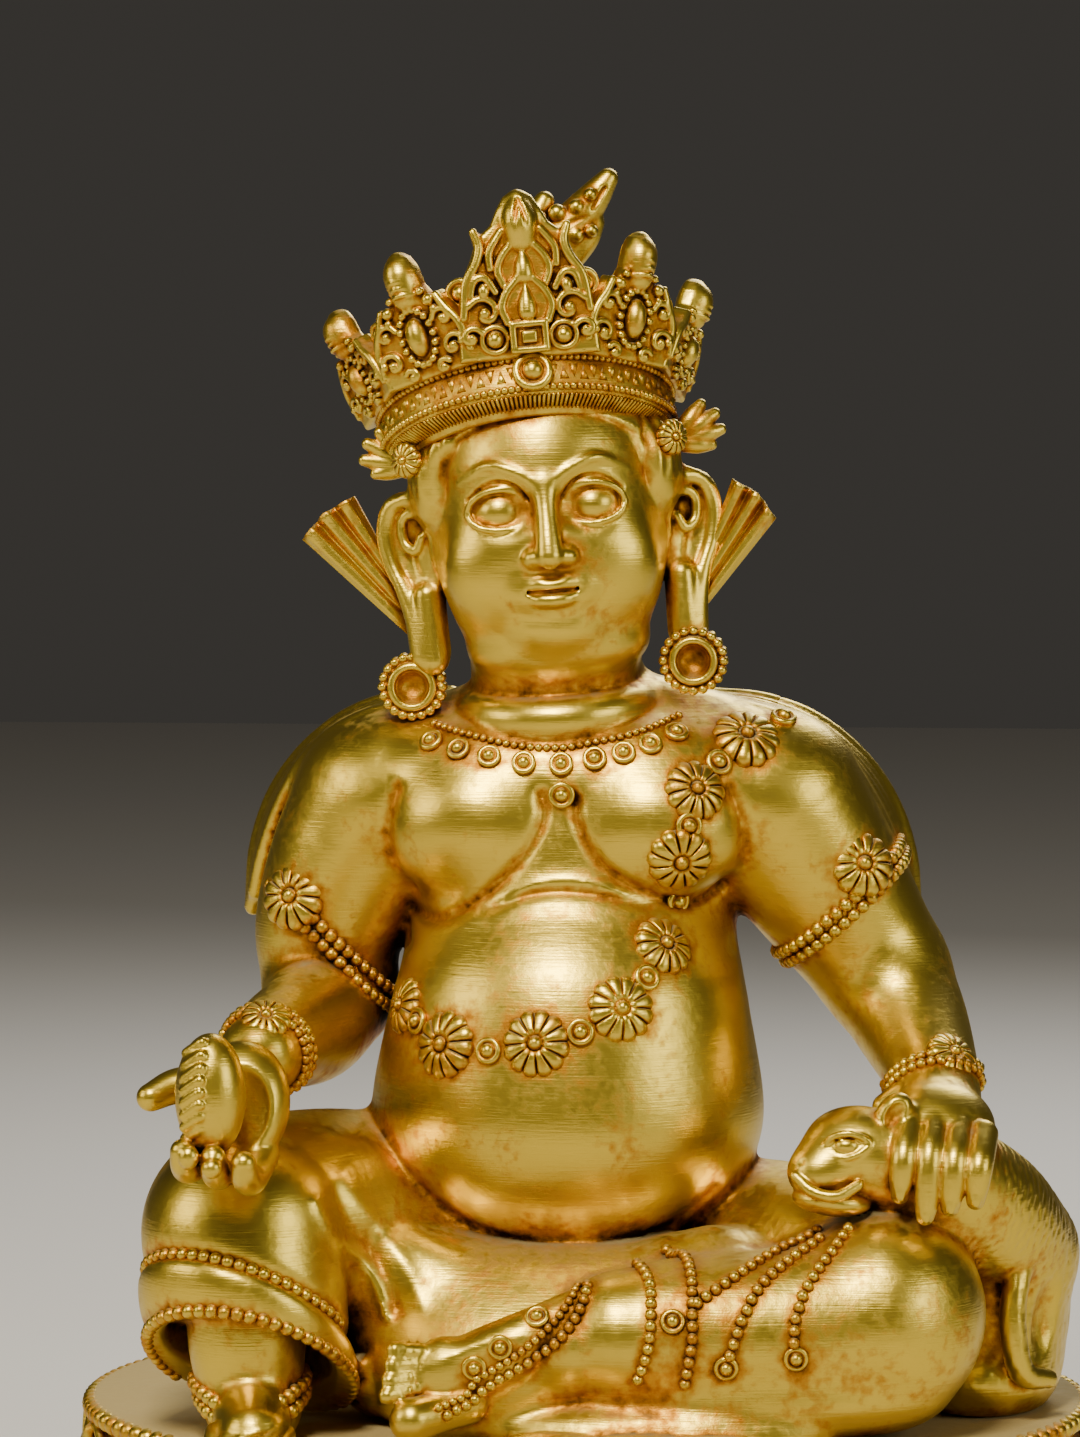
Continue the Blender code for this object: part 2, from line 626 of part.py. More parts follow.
def hoop(tree, centre, normal, most, thickness, count=13):
    """A cord that lies round a limb, in a plane through the centre."""
    frame = facing(centre, normal, (0.05, 1, 0.02))
    path = []
    for k in range(count):
        angle = 2 * math.pi * k / count
        way = (frame.to_3x3() @ Vector((math.cos(angle), math.sin(angle), 0))).normalized()
        place, _, _, far = tree.ray_cast(Vector(centre), way)
        reach = min(far if place is not None else most, most)
        path.append((Vector(centre) + way * reach, way))
    return strand(path, thickness, endless=True)


def worn_on_body(tree):
    """The garland, necklace, hoops and strands, each sunk a little into the figure."""
    bead = LINK_BEAD / UNIT / 2
    flower = ROSETTE_SIZE / UNIT / 2
    cord = STRAND_THICKNESS / UNIT
    made = []
    for x, z, share in GARLAND:
        made.append(rosette(facing(*smooth_hit(tree, x, z, 3.0)), flower * share))
    for x, z in LINKS:
        made.append(dome(facing(*smooth_hit(tree, x, z)), bead))
    for x, z in NECKLACE:
        made.append(dome(facing(*smooth_hit(tree, x, z)), bead * 0.82))
    made.append(dome(facing(*smooth_hit(tree, *PENDANT)), bead))
    string = [smooth_hit(tree, x, z + 3.4) for x, z in NECKLACE]
    made.append(strand(string, cord * 0.8))
    for centre, normal, most, share in HOOPS:
        made.append(hoop(tree, centre, normal, most, cord * share * 1.25))
    for centre, way, share in ARM_ROSETTES + WRIST_ROSETTES:
        place, _, _, _ = tree.ray_cast(Vector(centre), Vector(way))
        made.append(rosette(facing(place, way), flower * share))
    for rows in THIGH_STRANDS + [FOOT_STRAND]:
        made.append(strand([smooth_hit(tree, x, z) for x, z in rows], cord))
    for x, z in ENDS_OF_STRANDS + FOOT_BEADS:
        made.append(dome(facing(*smooth_hit(tree, x, z)), bead * 0.9))
    return made


def crown_leaf(turn, height, width, flare):
    """A pointed leaf of the crown, with a boss on its face."""
    radius = CROWN_BAND_LENGTH / UNIT / 2
    band = CROWN_BAND_HEIGHT / UNIT
    tall = CROWN_LEAF_HEIGHT / UNIT * height
    half = CROWN_LEAF_WIDTH / UNIT * width / 2
    thick = CROWN_LEAF_THICKNESS / UNIT / 2
    spin = rotated(turn, "Z") @ Matrix.Translation((0, -radius, band - 2))
    frame = CROWN @ spin @ rotated(flare, "X")
    outline = [(half * a, tall * b) for a, b in LEAF_OUTLINE]
    outline += [(-half * a, tall * b) for a, b in LEAF_OUTLINE[-2::-1]]
    rows = [[(x, -thick, z) for x, z in outline], [(x, thick, z) for x, z in outline]]
    leaf = lofted("leaf", rows, frame)
    rise = [[(half * a, y, tall * b) for a, b in LEAF_DROP] for y in (0, -thick * 1.3)]
    rise.append([(0, -thick * 2.0, tall * 0.5)])
    return [leaf, lofted("drop", rise, frame)]


def crown():
    """The band with the low wall over it, five leaves, the jewels at the brow, and the finial."""
    radius = CROWN_BAND_LENGTH / UNIT / 2
    band = CROWN_BAND_HEIGHT / UNIT
    rows = []
    for k in range(22):
        angle = 2 * math.pi * (k + 0.5) / 22
        wall = 1.5 + 11 * min(1.0, max(0.0, 0.5 - 1.4 * math.sin(angle)))
        lean = 0.2 * wall
        outer = [(1.0, -0.6), (1.4, band - 0.8), (-0.2, band), (lean, band + wall)]
        inner = [(lean - 3.2, band + wall), (-6.0, band - 1), (-6.0, -0.6)]
        ways = (math.cos(angle), math.sin(angle))
        rows.append([((radius + out) * ways[0], (radius + out) * ways[1], up) for out, up in outer + inner])
    made = [lofted("band", rows, CROWN, endless=True)]
    for leaf in CROWN_LEAVES:
        made += crown_leaf(*leaf)
    made.append(dome(CROWN @ Matrix.Translation((0, -radius - 0.8, band / 2 - 0.6)) @ rotated(90, "X"), 4.2))
    for turn in (-19, 19):
        place = CROWN @ rotated(turn, "Z") @ Matrix.Translation((0, -radius - 1.2, band + 4.5))
        made.append(dome(place @ rotated(90, "X"), 3.2))
    finial = [(3.4, 0), (4.6, 5), (5.6, 11), (4.0, 14), (3.4, 19), (0, 24.6)]
    outline = finial + [(-x, z) for x, z in finial[-2::-1]]
    rows = [[(x, y, z) for x, z in outline] for y in (-2.6, 2.6)]
    made.append(lofted("finial", rows, HEAD @ Matrix.Translation((4.5, 9, 58)) @ rotated(24, "Y")))
    return made


def ear_fan(start, ends):
    """Cloth pleats that spread from the ear, drawn together where they start."""
    rows = []
    for k, (x, z) in enumerate(ends):
        fold = 1.3 * (k % 2)
        near = (start[0] + 1.2 - 0.8 * k, start[2] + 0.9 * (k - 1.5))
        rows.append([
            (near[0], start[1] - 1.5, near[1]),
            (x, start[1] - 1.8 + fold, z),
            (x, start[1] + 1.4 + fold, z),
            (near[0], start[1] + 2.5, near[1]),
        ])
    return lofted("fan", rows)


def temple_bow(side):
    """A flower at the temple and the spread ends of the ribbon behind it."""
    place = HEAD @ Matrix.Translation((side * 28.0, -11.5, 19.5))
    made = [rosette(place @ rotated(90, "X") @ rotated(side * 38, "Y"), 5.4)]
    square = [(-1, -1), (1, -1), (1, 1), (-1, 1)]
    for k, angle in enumerate((52, 84, 116)):
        frame = HEAD @ Matrix.Translation((side * 31.0, -3, 21.0 - 2.5 * k)) @ rotated(side * angle, "Y")
        rows = [[(2.4 * x, 1.6 * y, -2) for x, y in square], [(2.6 * x, 1.4 * y, 6) for x, y in square]]
        made.append(lofted("bow", rows + [[(0, 0, 11)]], frame))
    return made


def ear_ornaments():
    """The round earrings, the fans of cloth above them, and the bows at the temples."""
    made = []
    half = EARRING_SIZE / UNIT / 2
    profile = [(0.8, -0.9), (1.0, -0.1), (0.92, 0.28), (0.62, 0.30), (0.52, -0.1)]
    for place in EAR_RINGS:
        rows = [circle(half * a, half * b, 10) for a, b in profile]
        made.append(lofted("earring", rows, facing(place, (0.05, -1, 0))))
    for start, ends in EAR_FANS:
        made.append(ear_fan(start, ends))
    return made + temple_bow(-1) + temple_bow(1)


def clay_body():
    """The figure's flesh and cloth as one closed mesh, flat where it sits."""
    clay = Clay((-112, -104, -6), (118, 66, 274), CLAY_STEP)
    shape_figure(clay)
    floor = (clay.low[2] + clay.step * np.arange(clay.far.shape[2])).astype(np.float32)
    clay.far = np.maximum(clay.far, -floor[None, None, :])
    body = put("jambhala_figure", clay.mesh("jambhala_figure"))
    tree = BVHTree.FromObject(body, bpy.context.evaluated_depsgraph_get())
    return thinned(body, BODY_TRIANGLES), tree


def united(body, parts):
    """The body with each part made one with it."""
    for part in parts:
        join = body.modifiers.new("join", "BOOLEAN")
        join.operation = "UNION"
        join.solver = "MANIFOLD"
        join.object = part
        applied(body)
        bpy.data.objects.remove(part)
    return body


def figure():
    body, tree = clay_body()
    united(body, worn_on_body(tree) + crown() + ear_ornaments())
    healed(thinned(body, FIGURE_TRIANGLES))
    seat = Matrix.Translation((0, -FIGURE_FORWARD, BASE_HEIGHT + SEAT_GAP))
    body.data.transform(seat @ Matrix.Scale(UNIT, 4))
    return body


def oval(grow, height, count):
    """Points round the seat's oval, wider than the rim by grow."""
    a = BASE_RIM_LENGTH / 2 + grow
    b = BASE_RIM_DEPTH / 2 + grow
    turns = [2 * math.pi * k / count for k in range(count)]
    return [(a * math.cos(turn), b * math.sin(turn), height) for turn in turns]


def petal(turn, low, high, grow, width):
    """One lotus petal that swells out from the seat between two heights, its tip at the second."""
    a = BASE_RIM_LENGTH / 2 + grow
    b = BASE_RIM_DEPTH / 2 + grow
    place = Vector((a * math.cos(turn), b * math.sin(turn), 0))
    outward = Vector((b * math.cos(turn), a * math.sin(turn), 0)).normalized()
    side = Vector((-outward.y, outward.x, 0))
    rows = []
    for share, half, swell in ((0.0, 0.44, 0.30), (0.35, 0.50, 0.85), (0.68, 0.42, 1.0), (1.0, 0.0, 0.80)):
        centre = place + Vector((0, 0, low + (high - low) * share))
        crest = centre + outward * PETAL_SWELL * swell
        back = centre - outward * 0.006
        if half == 0:
            rows.append([crest])
            continue
        reach = side * width * half
        edge = outward * PETAL_SWELL * swell * 0.35
        rows.append([centre + reach + edge, crest, centre - reach + edge, back - reach, back + reach])
    return lofted("petal", rows)


def lotus_base():
    """The oval seat: a flat top with a beaded edge, two rows of petals, and a plain foot."""
    top = BASE_HEIGHT
    profile = [
        (FOOT_FLANGE, 0.0),
        (FOOT_FLANGE, 0.10 * top),
        (-0.002, 0.14 * top),
        (-0.009, 0.44 * top),
        (-0.009, 0.52 * top),
        (-0.003, 0.84 * top),
        (-0.0028, top - 1.05 * RIM_BEAD),
        (0.0, top - 0.75 * RIM_BEAD),
        (0.0, top - 0.25 * RIM_BEAD),
        (-RIM_BEAD * 0.4, top),
    ]
    base = lofted("lotus_base", [oval(grow, height, 40) for grow, height in profile])
    parts = []
    for count, low, high, grow, shift in (
        (UPPER_PETALS, 0.48 * top, 0.87 * top, -0.0035, 0.0),
        (LOWER_PETALS, 0.47 * top, 0.10 * top, -0.0025, 0.5),
    ):
        width = math.pi * (BASE_RIM_LENGTH + BASE_RIM_DEPTH) / 2 / count * 0.98
        for k in range(count):
            turn = 2 * math.pi * (k + shift) / count - math.pi / 2
            if abs((math.degrees(turn) - 90 + 180) % 360 - 180) < BACK_PLAIN_DEGREES / 2:
                continue
            parts.append(petal(turn, low, high, grow, width))
    return healed(thinned(united(base, parts), BASE_TRIANGLES))


def gilt():
    """Polished gilding over a copper alloy."""
    gold = bpy.data.materials.new("gilt_copper_alloy")
    gold.use_nodes = True
    shader = gold.node_tree.nodes["Principled BSDF"]
    shader.inputs["Base Color"].default_value = (0.72, 0.46, 0.14, 1)
    shader.inputs["Metallic"].default_value = 1.0
    shader.inputs["Roughness"].default_value = 0.32
    return gold


def main():
    fresh_scene()
    gold = gilt()
    for made in (figure(), lotus_base()):
        made.data.materials.clear()
        made.data.materials.append(gold)


if __name__ == "__main__":
    main()
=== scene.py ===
"""The gilt jambhala statue in fine relief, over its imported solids."""

from __future__ import annotations

import itertools
import json
import logging
import math
from dataclasses import dataclass, field
from typing import Callable, Sequence

import bmesh
import bpy
import numpy as np
import openvdb
from mathutils import Euler, Matrix, Vector
from mathutils.bvhtree import BVHTree
from mathutils.kdtree import KDTree

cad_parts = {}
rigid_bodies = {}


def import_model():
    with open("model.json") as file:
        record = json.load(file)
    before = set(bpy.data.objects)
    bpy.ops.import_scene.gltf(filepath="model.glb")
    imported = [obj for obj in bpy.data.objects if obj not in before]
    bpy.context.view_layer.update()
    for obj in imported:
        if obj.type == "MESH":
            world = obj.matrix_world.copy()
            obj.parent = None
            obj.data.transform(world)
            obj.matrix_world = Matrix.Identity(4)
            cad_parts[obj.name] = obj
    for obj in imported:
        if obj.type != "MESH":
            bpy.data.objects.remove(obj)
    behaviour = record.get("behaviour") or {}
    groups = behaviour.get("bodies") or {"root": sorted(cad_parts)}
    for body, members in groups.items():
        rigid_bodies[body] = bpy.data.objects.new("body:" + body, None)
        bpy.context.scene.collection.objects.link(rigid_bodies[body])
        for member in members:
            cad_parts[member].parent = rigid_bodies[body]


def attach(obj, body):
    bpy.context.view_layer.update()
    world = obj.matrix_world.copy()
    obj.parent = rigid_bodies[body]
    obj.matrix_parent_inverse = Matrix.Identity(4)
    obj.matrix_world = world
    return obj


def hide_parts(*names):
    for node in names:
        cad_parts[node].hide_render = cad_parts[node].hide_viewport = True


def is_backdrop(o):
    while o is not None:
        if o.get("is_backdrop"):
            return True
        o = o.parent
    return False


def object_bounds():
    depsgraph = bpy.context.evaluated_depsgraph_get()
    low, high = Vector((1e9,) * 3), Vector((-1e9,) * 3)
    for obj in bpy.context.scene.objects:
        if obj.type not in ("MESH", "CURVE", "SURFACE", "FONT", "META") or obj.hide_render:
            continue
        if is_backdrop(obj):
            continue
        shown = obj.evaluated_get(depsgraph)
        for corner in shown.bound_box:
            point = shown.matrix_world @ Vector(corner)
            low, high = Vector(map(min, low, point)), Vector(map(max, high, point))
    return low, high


LOG = logging.getLogger("jambhala")

# The figure is drawn in millimetres above its seat, and stands 8 mm forward of the base's centre
MM = 0.001
BASE_HEIGHT = 40.0
SEAT_GAP = 0.3
FIGURE_FORWARD = 8.0
SEAT = Matrix.Scale(MM, 4) @ Matrix.Translation((0, -FIGURE_FORWARD, BASE_HEIGHT + SEAT_GAP))
FLOOR = Matrix.Scale(MM, 4)
# A block of clay keeps no distance over this many millimetres
FAR = 9.0
# Rays at the figure's front start at this y
BEFORE = -200.0

BURNISHED = "fire_gilding_burnished"
ON_CLOTH = "fire_gilding_on_cloth"
RELIEF = "fire_gilding_in_relief"
MATT = "fire_gilding_matt"
DUSTY = "fire_gilding_dusty"

Grid = np.ndarray
Shape = tuple[np.ndarray, np.ndarray, Callable[..., Grid]]
Rows = Sequence[Sequence[float]]
Object = bpy.types.Object
Tree = bpy.types.NodeTree
Socket = bpy.types.NodeSocket
Finished = tuple[Object, str]


def rotated(degrees: float, axis: str) -> Matrix:
    """A turn about one axis."""
    return Matrix.Rotation(math.radians(degrees), 4, axis)


def moved(x: float, y: float, z: float) -> Matrix:
    """A move without a turn."""
    return Matrix.Translation((x, y, z))


HEAD = moved(-6.5, -7.0, 190.5) @ Euler([math.radians(a) for a in (0, -5, 5)]).to_matrix().to_4x4()
CROWN = HEAD @ moved(-2.8, 1, 21.0) @ rotated(5, "Z") @ rotated(-20, "X")


def angles(count: int, shift: float = 0.0) -> list[float]:
    """So many angles spread evenly over a full turn."""
    return [2 * math.pi * (k + shift) / count for k in range(count)]


def flipped(rows: Rows, side: int) -> list[tuple]:
    """Rows whose x is turned to the given side."""
    return [(side * row[0], *row[1:]) for row in rows]


def arched(half: Sequence[tuple]) -> list[tuple]:
    """Half an outline that ends on the middle line, with the other half in its mirror."""
    return list(half) + flipped(half[-2::-1], -1)


def facing(place: Vector, outward: Vector, up: Sequence[float] = (0, 0, 1)) -> Matrix:
    """A frame whose Z looks outward and whose Y is as near as can be to up.

    Args:
        place: Where the frame stands.
        outward: The way its Z looks.
        up: The way its Y leans towards.

    Returns:
        The frame as a matrix.
    """
    z = Vector(outward).normalized()
    x = Vector(up).cross(z).normalized()
    return Matrix.Translation(Vector(place)) @ Matrix((x, z.cross(x), z)).transposed().to_4x4()


# Clay: a block of distances to a surface, worked with shapes


def soft_min(a: Grid, b: Grid, blend: float) -> Grid:
    """The nearer of two distances, rounded over where they are alike."""
    if blend <= 0:
        return np.minimum(a, b)
    share = np.maximum(blend - np.abs(a - b), 0) / blend
    return np.minimum(a, b) - share * share * blend / 4


def turned(degrees: Sequence[float]) -> Grid:
    """The rows of a frame turned by three angles."""
    return np.array(Euler([math.radians(a) for a in degrees]).to_matrix(), np.float32).T


def into(spin: Grid, centre: Sequence[float], x: Grid, y: Grid, z: Grid) -> list[Grid]:
    """The coordinates seen from a turned frame that stands at the centre."""
    x, y, z = x - centre[0], y - centre[1], z - centre[2]
    return [spin[k, 0] * x + spin[k, 1] * y + spin[k, 2] * z for k in range(3)]


def blurred(values: Grid, reach: int) -> Grid:
    """The values averaged over a box that reaches so many cells each way."""
    for axis in range(3):
        pad = [(reach + 1, reach) if k == axis else (0, 0) for k in range(3)]
        total = np.cumsum(np.pad(values, pad, mode="edge"), axis=axis, dtype=np.float32)
        count = values.shape[axis]
        high = np.take(total, np.arange(2 * reach + 1, 2 * reach + 1 + count), axis=axis)
        low = np.take(total, np.arange(count), axis=axis)
        values = (high - low) / (2 * reach + 1)
    return values


class Clay:
    """A block of distances to a surface, to which shapes are added and from which they are cut."""

    def __init__(self, low: Sequence[float], high: Sequence[float], step: float) -> None:
        """Sets up an empty block.

        Args:
            low: Its lowest corner in millimetres.
            high: Its highest corner.
            step: The distance between samples.
        """
        self.low = np.array(low, float)
        self.step = step
        count = np.ceil((np.array(high, float) - self.low) / step).astype(int) + 1
        self.far = np.full(count, FAR, np.float32)

    def measured(self, shape: Shape, frame: Matrix, reach: float) -> tuple[tuple | None, Grid | None]:
        """The window that a shape can touch, and its distances there.

        Args:
            shape: The shape, with its lowest and highest corners.
            frame: Where the shape stands.
            reach: How far beyond its corners it still counts.

        Returns:
            The window's slices and the distances, or two Nones outside the block.
        """
        low, high, distance = shape
        corners = [frame @ Vector(place) for place in itertools.product(*zip(low, high))]
        first = np.floor((np.min(corners, axis=0) - reach - self.low) / self.step).astype(int)
        last = np.ceil((np.max(corners, axis=0) + reach - self.low) / self.step).astype(int) + 1
        first = np.maximum(first, 0)
        last = np.minimum(last, self.far.shape)
        if (last <= first).any():
            return None, None
        spans = zip(self.low, first, last)
        axes = [(a + self.step * np.arange(b, c)).astype(np.float32) for a, b, c in spans]
        x, y, z = np.ix_(*axes)
        m = np.array(frame.inverted(), np.float32)
        local = [m[k, 0] * x + m[k, 1] * y + m[k, 2] * z + m[k, 3] for k in range(3)]
        return tuple(slice(a, b) for a, b in zip(first, last)), distance(*local)

    def add(self, shape: Shape, blend: float = 0.0, frame: Matrix = Matrix.Identity(4)) -> None:
        """Joins a shape on, rounded over the blend."""
        window, new = self.measured(shape, frame, blend + 2 * self.step)
        if window:
            self.far[window] = soft_min(self.far[window], new, blend)

    def cut(self, shape: Shape, blend: float = 0.0, frame: Matrix = Matrix.Identity(4)) -> None:
        """Takes a shape away, rounded over the blend."""
        window, new = self.measured(shape, frame, blend + 2 * self.step)
        if window:
            self.far[window] = -soft_min(-self.far[window], new, blend)

    def press(self, shape: Shape, frame: Matrix = Matrix.Identity(4)) -> None:
        """Pushes the surface in by the depths that the shape gives in millimetres."""
        window, depth = self.measured(shape, frame, 0)
        if window:
            self.far[window] += depth

    def kept_in(self, domain: Callable[..., Grid], dive: float = 0.04) -> None:
        """Lets the surface dive under its neighbour outside a domain, and ends it there."""
        axes = [a + self.step * np.arange(n) for a, n in zip(self.low, self.far.shape)]
        x, y, z = np.ix_(*[a.astype(np.float32) for a in axes])
        outside = domain(x, y, z)
        self.far = np.maximum(self.far + dive * np.maximum(outside, 0), outside - 2.0)

    def hollows(self, reach: float) -> Grid:
        """How much clay lies about each sample: 0.5 on a flat face, more in a hollow."""
        full = np.clip(0.5 - self.far / self.step, 0, 1).astype(np.float32)
        cells = max(1, round(reach / self.step / 2))
        return blurred(blurred(full, cells), cells)

    def crevice(self, reach: float, gain: float) -> Grid:
        """How far each sample's surroundings are fuller than a flat face, times a gain."""
        # The gilding paints shade, with patina, where this is high
        return (self.hollows(reach) - 0.5) * gain

    def sampled(self, field: Grid, points: Grid) -> tuple[Grid, Grid]:
        """A field and its slope between the samples.

        Args:
            field: One value per sample.
            points: Places, counted in samples from the block's lowest corner.

        Returns:
            The values, and how they change per sample along each axis.
        """
        cell = np.clip(np.floor(points).astype(int), 0, np.array(field.shape) - 2)
        share = [np.stack([1 - t, t]) for t in (points - cell).T]
        value = np.zeros(len(points))
        slope = np.zeros((len(points), 3))
        for corner in itertools.product((0, 1), repeat=3):
            here = field[cell[:, 0] + corner[0], cell[:, 1] + corner[1], cell[:, 2] + corner[2]]
            parts = [share[axis][corner[axis]] for axis in range(3)]
            value += here * parts[0] * parts[1] * parts[2]
            for axis in range(3):
                others = parts[axis - 1] * parts[axis - 2]
                slope[:, axis] += (2 * corner[axis] - 1) * here * others
        return value, slope

    def settled(self, points: Grid) -> Grid:
        """The points brought onto the surface itself."""
        for _ in range(3):
            value, slope = self.sampled(self.far, points)
            move = value[:, None] * slope / np.maximum((slope**2).sum(1), 1e-6)[:, None]
            points = points - np.clip(move, -0.4, 0.4)
        return points

    def mesh(self, name: str, crevice: Grid | None = None, most: int = 190000) -> Object:
        """The surface as a smooth mesh object, in millimetres.

        Args:
            name: The object's name.
            crevice: Values per sample to keep on the mesh as its attribute "hollow".
            most: The most triangles that it may have.

        Returns:
            The object.
        """
        band = 3 * self.step
        grid = openvdb.FloatGrid(band)
        grid.copyFromArray(np.clip(self.far, -band, band))
        points, triangles, quads = grid.convertToPolygons(0.0, 0.0)
        points = self.settled(points.astype(float))
        made = bpy.data.meshes.new(name)
        made.vertices.add(len(points))
        made.vertices.foreach_set("co", (points * self.step + self.low).astype(np.float32).ravel())
        loops = np.concatenate([quads.ravel(), triangles.ravel()]).astype(np.int32)
        sizes = np.array([4] * len(quads) + [3] * len(triangles), np.int32)
        made.loops.add(len(loops))
        made.loops.foreach_set("vertex_index", loops)
        made.polygons.add(len(sizes))
        made.polygons.foreach_set("loop_start", np.concatenate([[0], np.cumsum(sizes)[:-1]]).astype(np.int32))
        made.update(calc_edges=True)
        if crevice is not None:
            values = self.sampled(crevice, points)[0].astype(np.float32)
            made.attributes.new("hollow", "FLOAT", "POINT").data.foreach_set("value", values)
        made.validate()
        obj = put(name, made)
        faces = 2 * len(quads) + len(triangles)
        if faces > most:
            thin = obj.modifiers.new("thin", "DECIMATE")
            thin.ratio = most / faces
            applied(obj)
        return smooth(obj)


def ball(centre: Sequence[float], radii: float | Sequence[float], turn: Sequence[float] = (0, 0, 0)) -> Shape:
    """A sphere, or an ellipsoid where three radii are given."""
    c = np.array(centre, np.float32)
    r = np.array(radii if np.ndim(radii) else [radii] * 3, np.float32)
    spin = turned(turn)
    half = np.abs(spin.T) @ r

    def distance(x: Grid, y: Grid, z: Grid) -> Grid:
        """How far each place lies outside the surface."""
        p = into(spin, c, x, y, z)
        k0 = np.sqrt(sum((p[k] / r[k]) ** 2 for k in range(3)))
        k1 = np.sqrt(sum((p[k] / r[k] ** 2) ** 2 for k in range(3))) + 1e-6
        return k0 * (k0 - 1) / k1

    return c - half, c + half, distance


def smooth_path(points: Rows, per_span: int) -> Grid:
    """Rows along a curve that passes through all the given rows."""
    p = np.array(points, float)
    p = np.vstack([2 * p[0] - p[1], p, 2 * p[-1] - p[-2]])
    out = []
    for i in range(1, len(p) - 2):
        for t in np.arange(per_span) / per_span:
            a, b, c, d = p[i - 1 : i + 3]
            square = (2 * a - 5 * b + 4 * c - d) * t**2
            cube = (3 * b - a - 3 * c + d) * t**3
            out.append(0.5 * (2 * b + (c - a) * t + square + cube))
    out.append(p[-2])
    return np.array(out)


def limb(rows: Rows, per_span: int = 9) -> Shape:
    """A round limb through rows of (x, y, z, radius)."""
    path = smooth_path(rows, per_span) if len(rows) > 2 else np.array(rows, float)
    at = path[:, :3]
    radius = path[:, 3]

    def distance(x: Grid, y: Grid, z: Grid) -> Grid:
        """How far each place lies outside the surface."""
        best = None
        for a, b, ra, rb in zip(at[:-1], at[1:], radius[:-1], radius[1:]):
            span = b - a
            along = (x - a[0]) * span[0] + (y - a[1]) * span[1] + (z - a[2]) * span[2]
            t = np.clip(along / max(span @ span, 1e-9), 0, 1)
            off = [c - a[k] - t * span[k] for k, c in enumerate((x, y, z))]
            gap = np.sqrt(off[0] ** 2 + off[1] ** 2 + off[2] ** 2) - (ra + t * (rb - ra))
            best = gap if best is None else np.minimum(best, gap)
        return best.astype(np.float32)

    return (at - radius[:, None]).min(0), (at + radius[:, None]).max(0), distance


def ring(centre: Sequence[float], major: float, minor: float, turn: Sequence[float] = (0, 0, 0)) -> Shape:
    """A round ring that lies square to its own Z."""
    c = np.array(centre, np.float32)
    spin = turned(turn)

    def distance(x: Grid, y: Grid, z: Grid) -> Grid:
        """How far each place lies outside the surface."""
        p = into(spin, c, x, y, z)
        return np.sqrt((np.sqrt(p[0] ** 2 + p[1] ** 2) - major) ** 2 + p[2] ** 2) - minor

    return c - major - minor, c + major + minor, distance


def trimmed(shape: Shape, point: Sequence[float], normal: Sequence[float]) -> Shape:
    """The part of a shape behind a plane."""
    low, high, whole = shape
    n = np.array(normal, float)
    n = n / np.linalg.norm(n)

    def distance(x: Grid, y: Grid, z: Grid) -> Grid:
        """How far each place lies outside the surface."""
        above = (x - point[0]) * n[0] + (y - point[1]) * n[1] + (z - point[2]) * n[2]
        return np.maximum(whole(x, y, z), above)

    return low, high, distance


def plate(outline: Rows, thick: float, soft: float = 0.5) -> Shape:
    """A flat plate in X and Z with a rounded edge.

    Args:
        outline: Its corners in order, as (x, z).
        thick: Its thickness along Y.
        soft: The radius of its edge.

    Returns:
        The shape.
    """
    p = np.array(outline, float)
    low = np.array([p[:, 0].min(), -thick / 2, p[:, 1].min()])
    high = np.array([p[:, 0].max(), thick / 2, p[:, 1].max()])

    def distance(x: Grid, y: Grid, z: Grid) -> Grid:
        """How far each place lies outside the surface."""
        near = None
        odd = np.zeros(np.broadcast(x, z).shape, bool)
        for (ax, az), (bx, bz) in zip(p, np.roll(p, -1, axis=0)):
            sx, sz = bx - ax, bz - az
            t = np.clip(((x - ax) * sx + (z - az) * sz) / max(sx * sx + sz * sz, 1e-9), 0, 1)
            gap = (x - ax - t * sx) ** 2 + (z - az - t * sz) ** 2
            near = gap if near is None else np.minimum(near, gap)
            crosses = (az > z) != (bz > z)
            if bz != az:
                odd = odd ^ (crosses & (x < ax + (z - az) * sx / sz))
        flat = np.where(odd, -1.0, 1.0) * np.sqrt(near) + soft
        deep = np.abs(y) - thick / 2 + soft
        outside = np.sqrt(np.maximum(flat, 0) ** 2 + np.maximum(deep, 0) ** 2)
        return (outside + np.minimum(np.maximum(flat, deep), 0) - soft).astype(np.float32)

    return low, high, distance


def drawn_line(rows: Rows, depth: float, width: float, back: float) -> Shape:
    """A line that is pressed in from the front, or raised where its depth is negative.

    Args:
        rows: Its (x, z) rows, which it follows in a smooth curve.
        depth: How deep it goes.
        width: Its half width.
        back: It is drawn on what lies in front of this y.

    Returns:
        The depths as a shape for Clay.press.
    """
    path = smooth_path(rows, 6)
    low = np.array([path[:, 0].min() - 3 * width, -115.0, path[:, 1].min() - 3 * width])
    high = np.array([path[:, 0].max() + 3 * width, back, path[:, 1].max() + 3 * width])

    def depths(x: Grid, y: Grid, z: Grid) -> Grid:
        """Deepest along the line, and none behind the given y."""
        near = None
        for (ax, az), (bx, bz) in zip(path[:-1], path[1:]):
            sx, sz = bx - ax, bz - az
            t = np.clip(((x - ax) * sx + (z - az) * sz) / (sx * sx + sz * sz), 0, 1)
            gap = (x - ax - t * sx) ** 2 + (z - az - t * sz) ** 2
            near = gap if near is None else np.minimum(near, gap)
        return depth * np.exp(-near / width**2) * np.clip((back - y) / 2, 0, 1)

    return low, high, depths


# Meshes


def put(name: str, data: bpy.types.ID) -> Object:
    """A new object in the scene, which shows a mesh, a light or a camera."""
    obj = bpy.data.objects.new(name, data)
    bpy.context.scene.collection.objects.link(obj)
    return obj


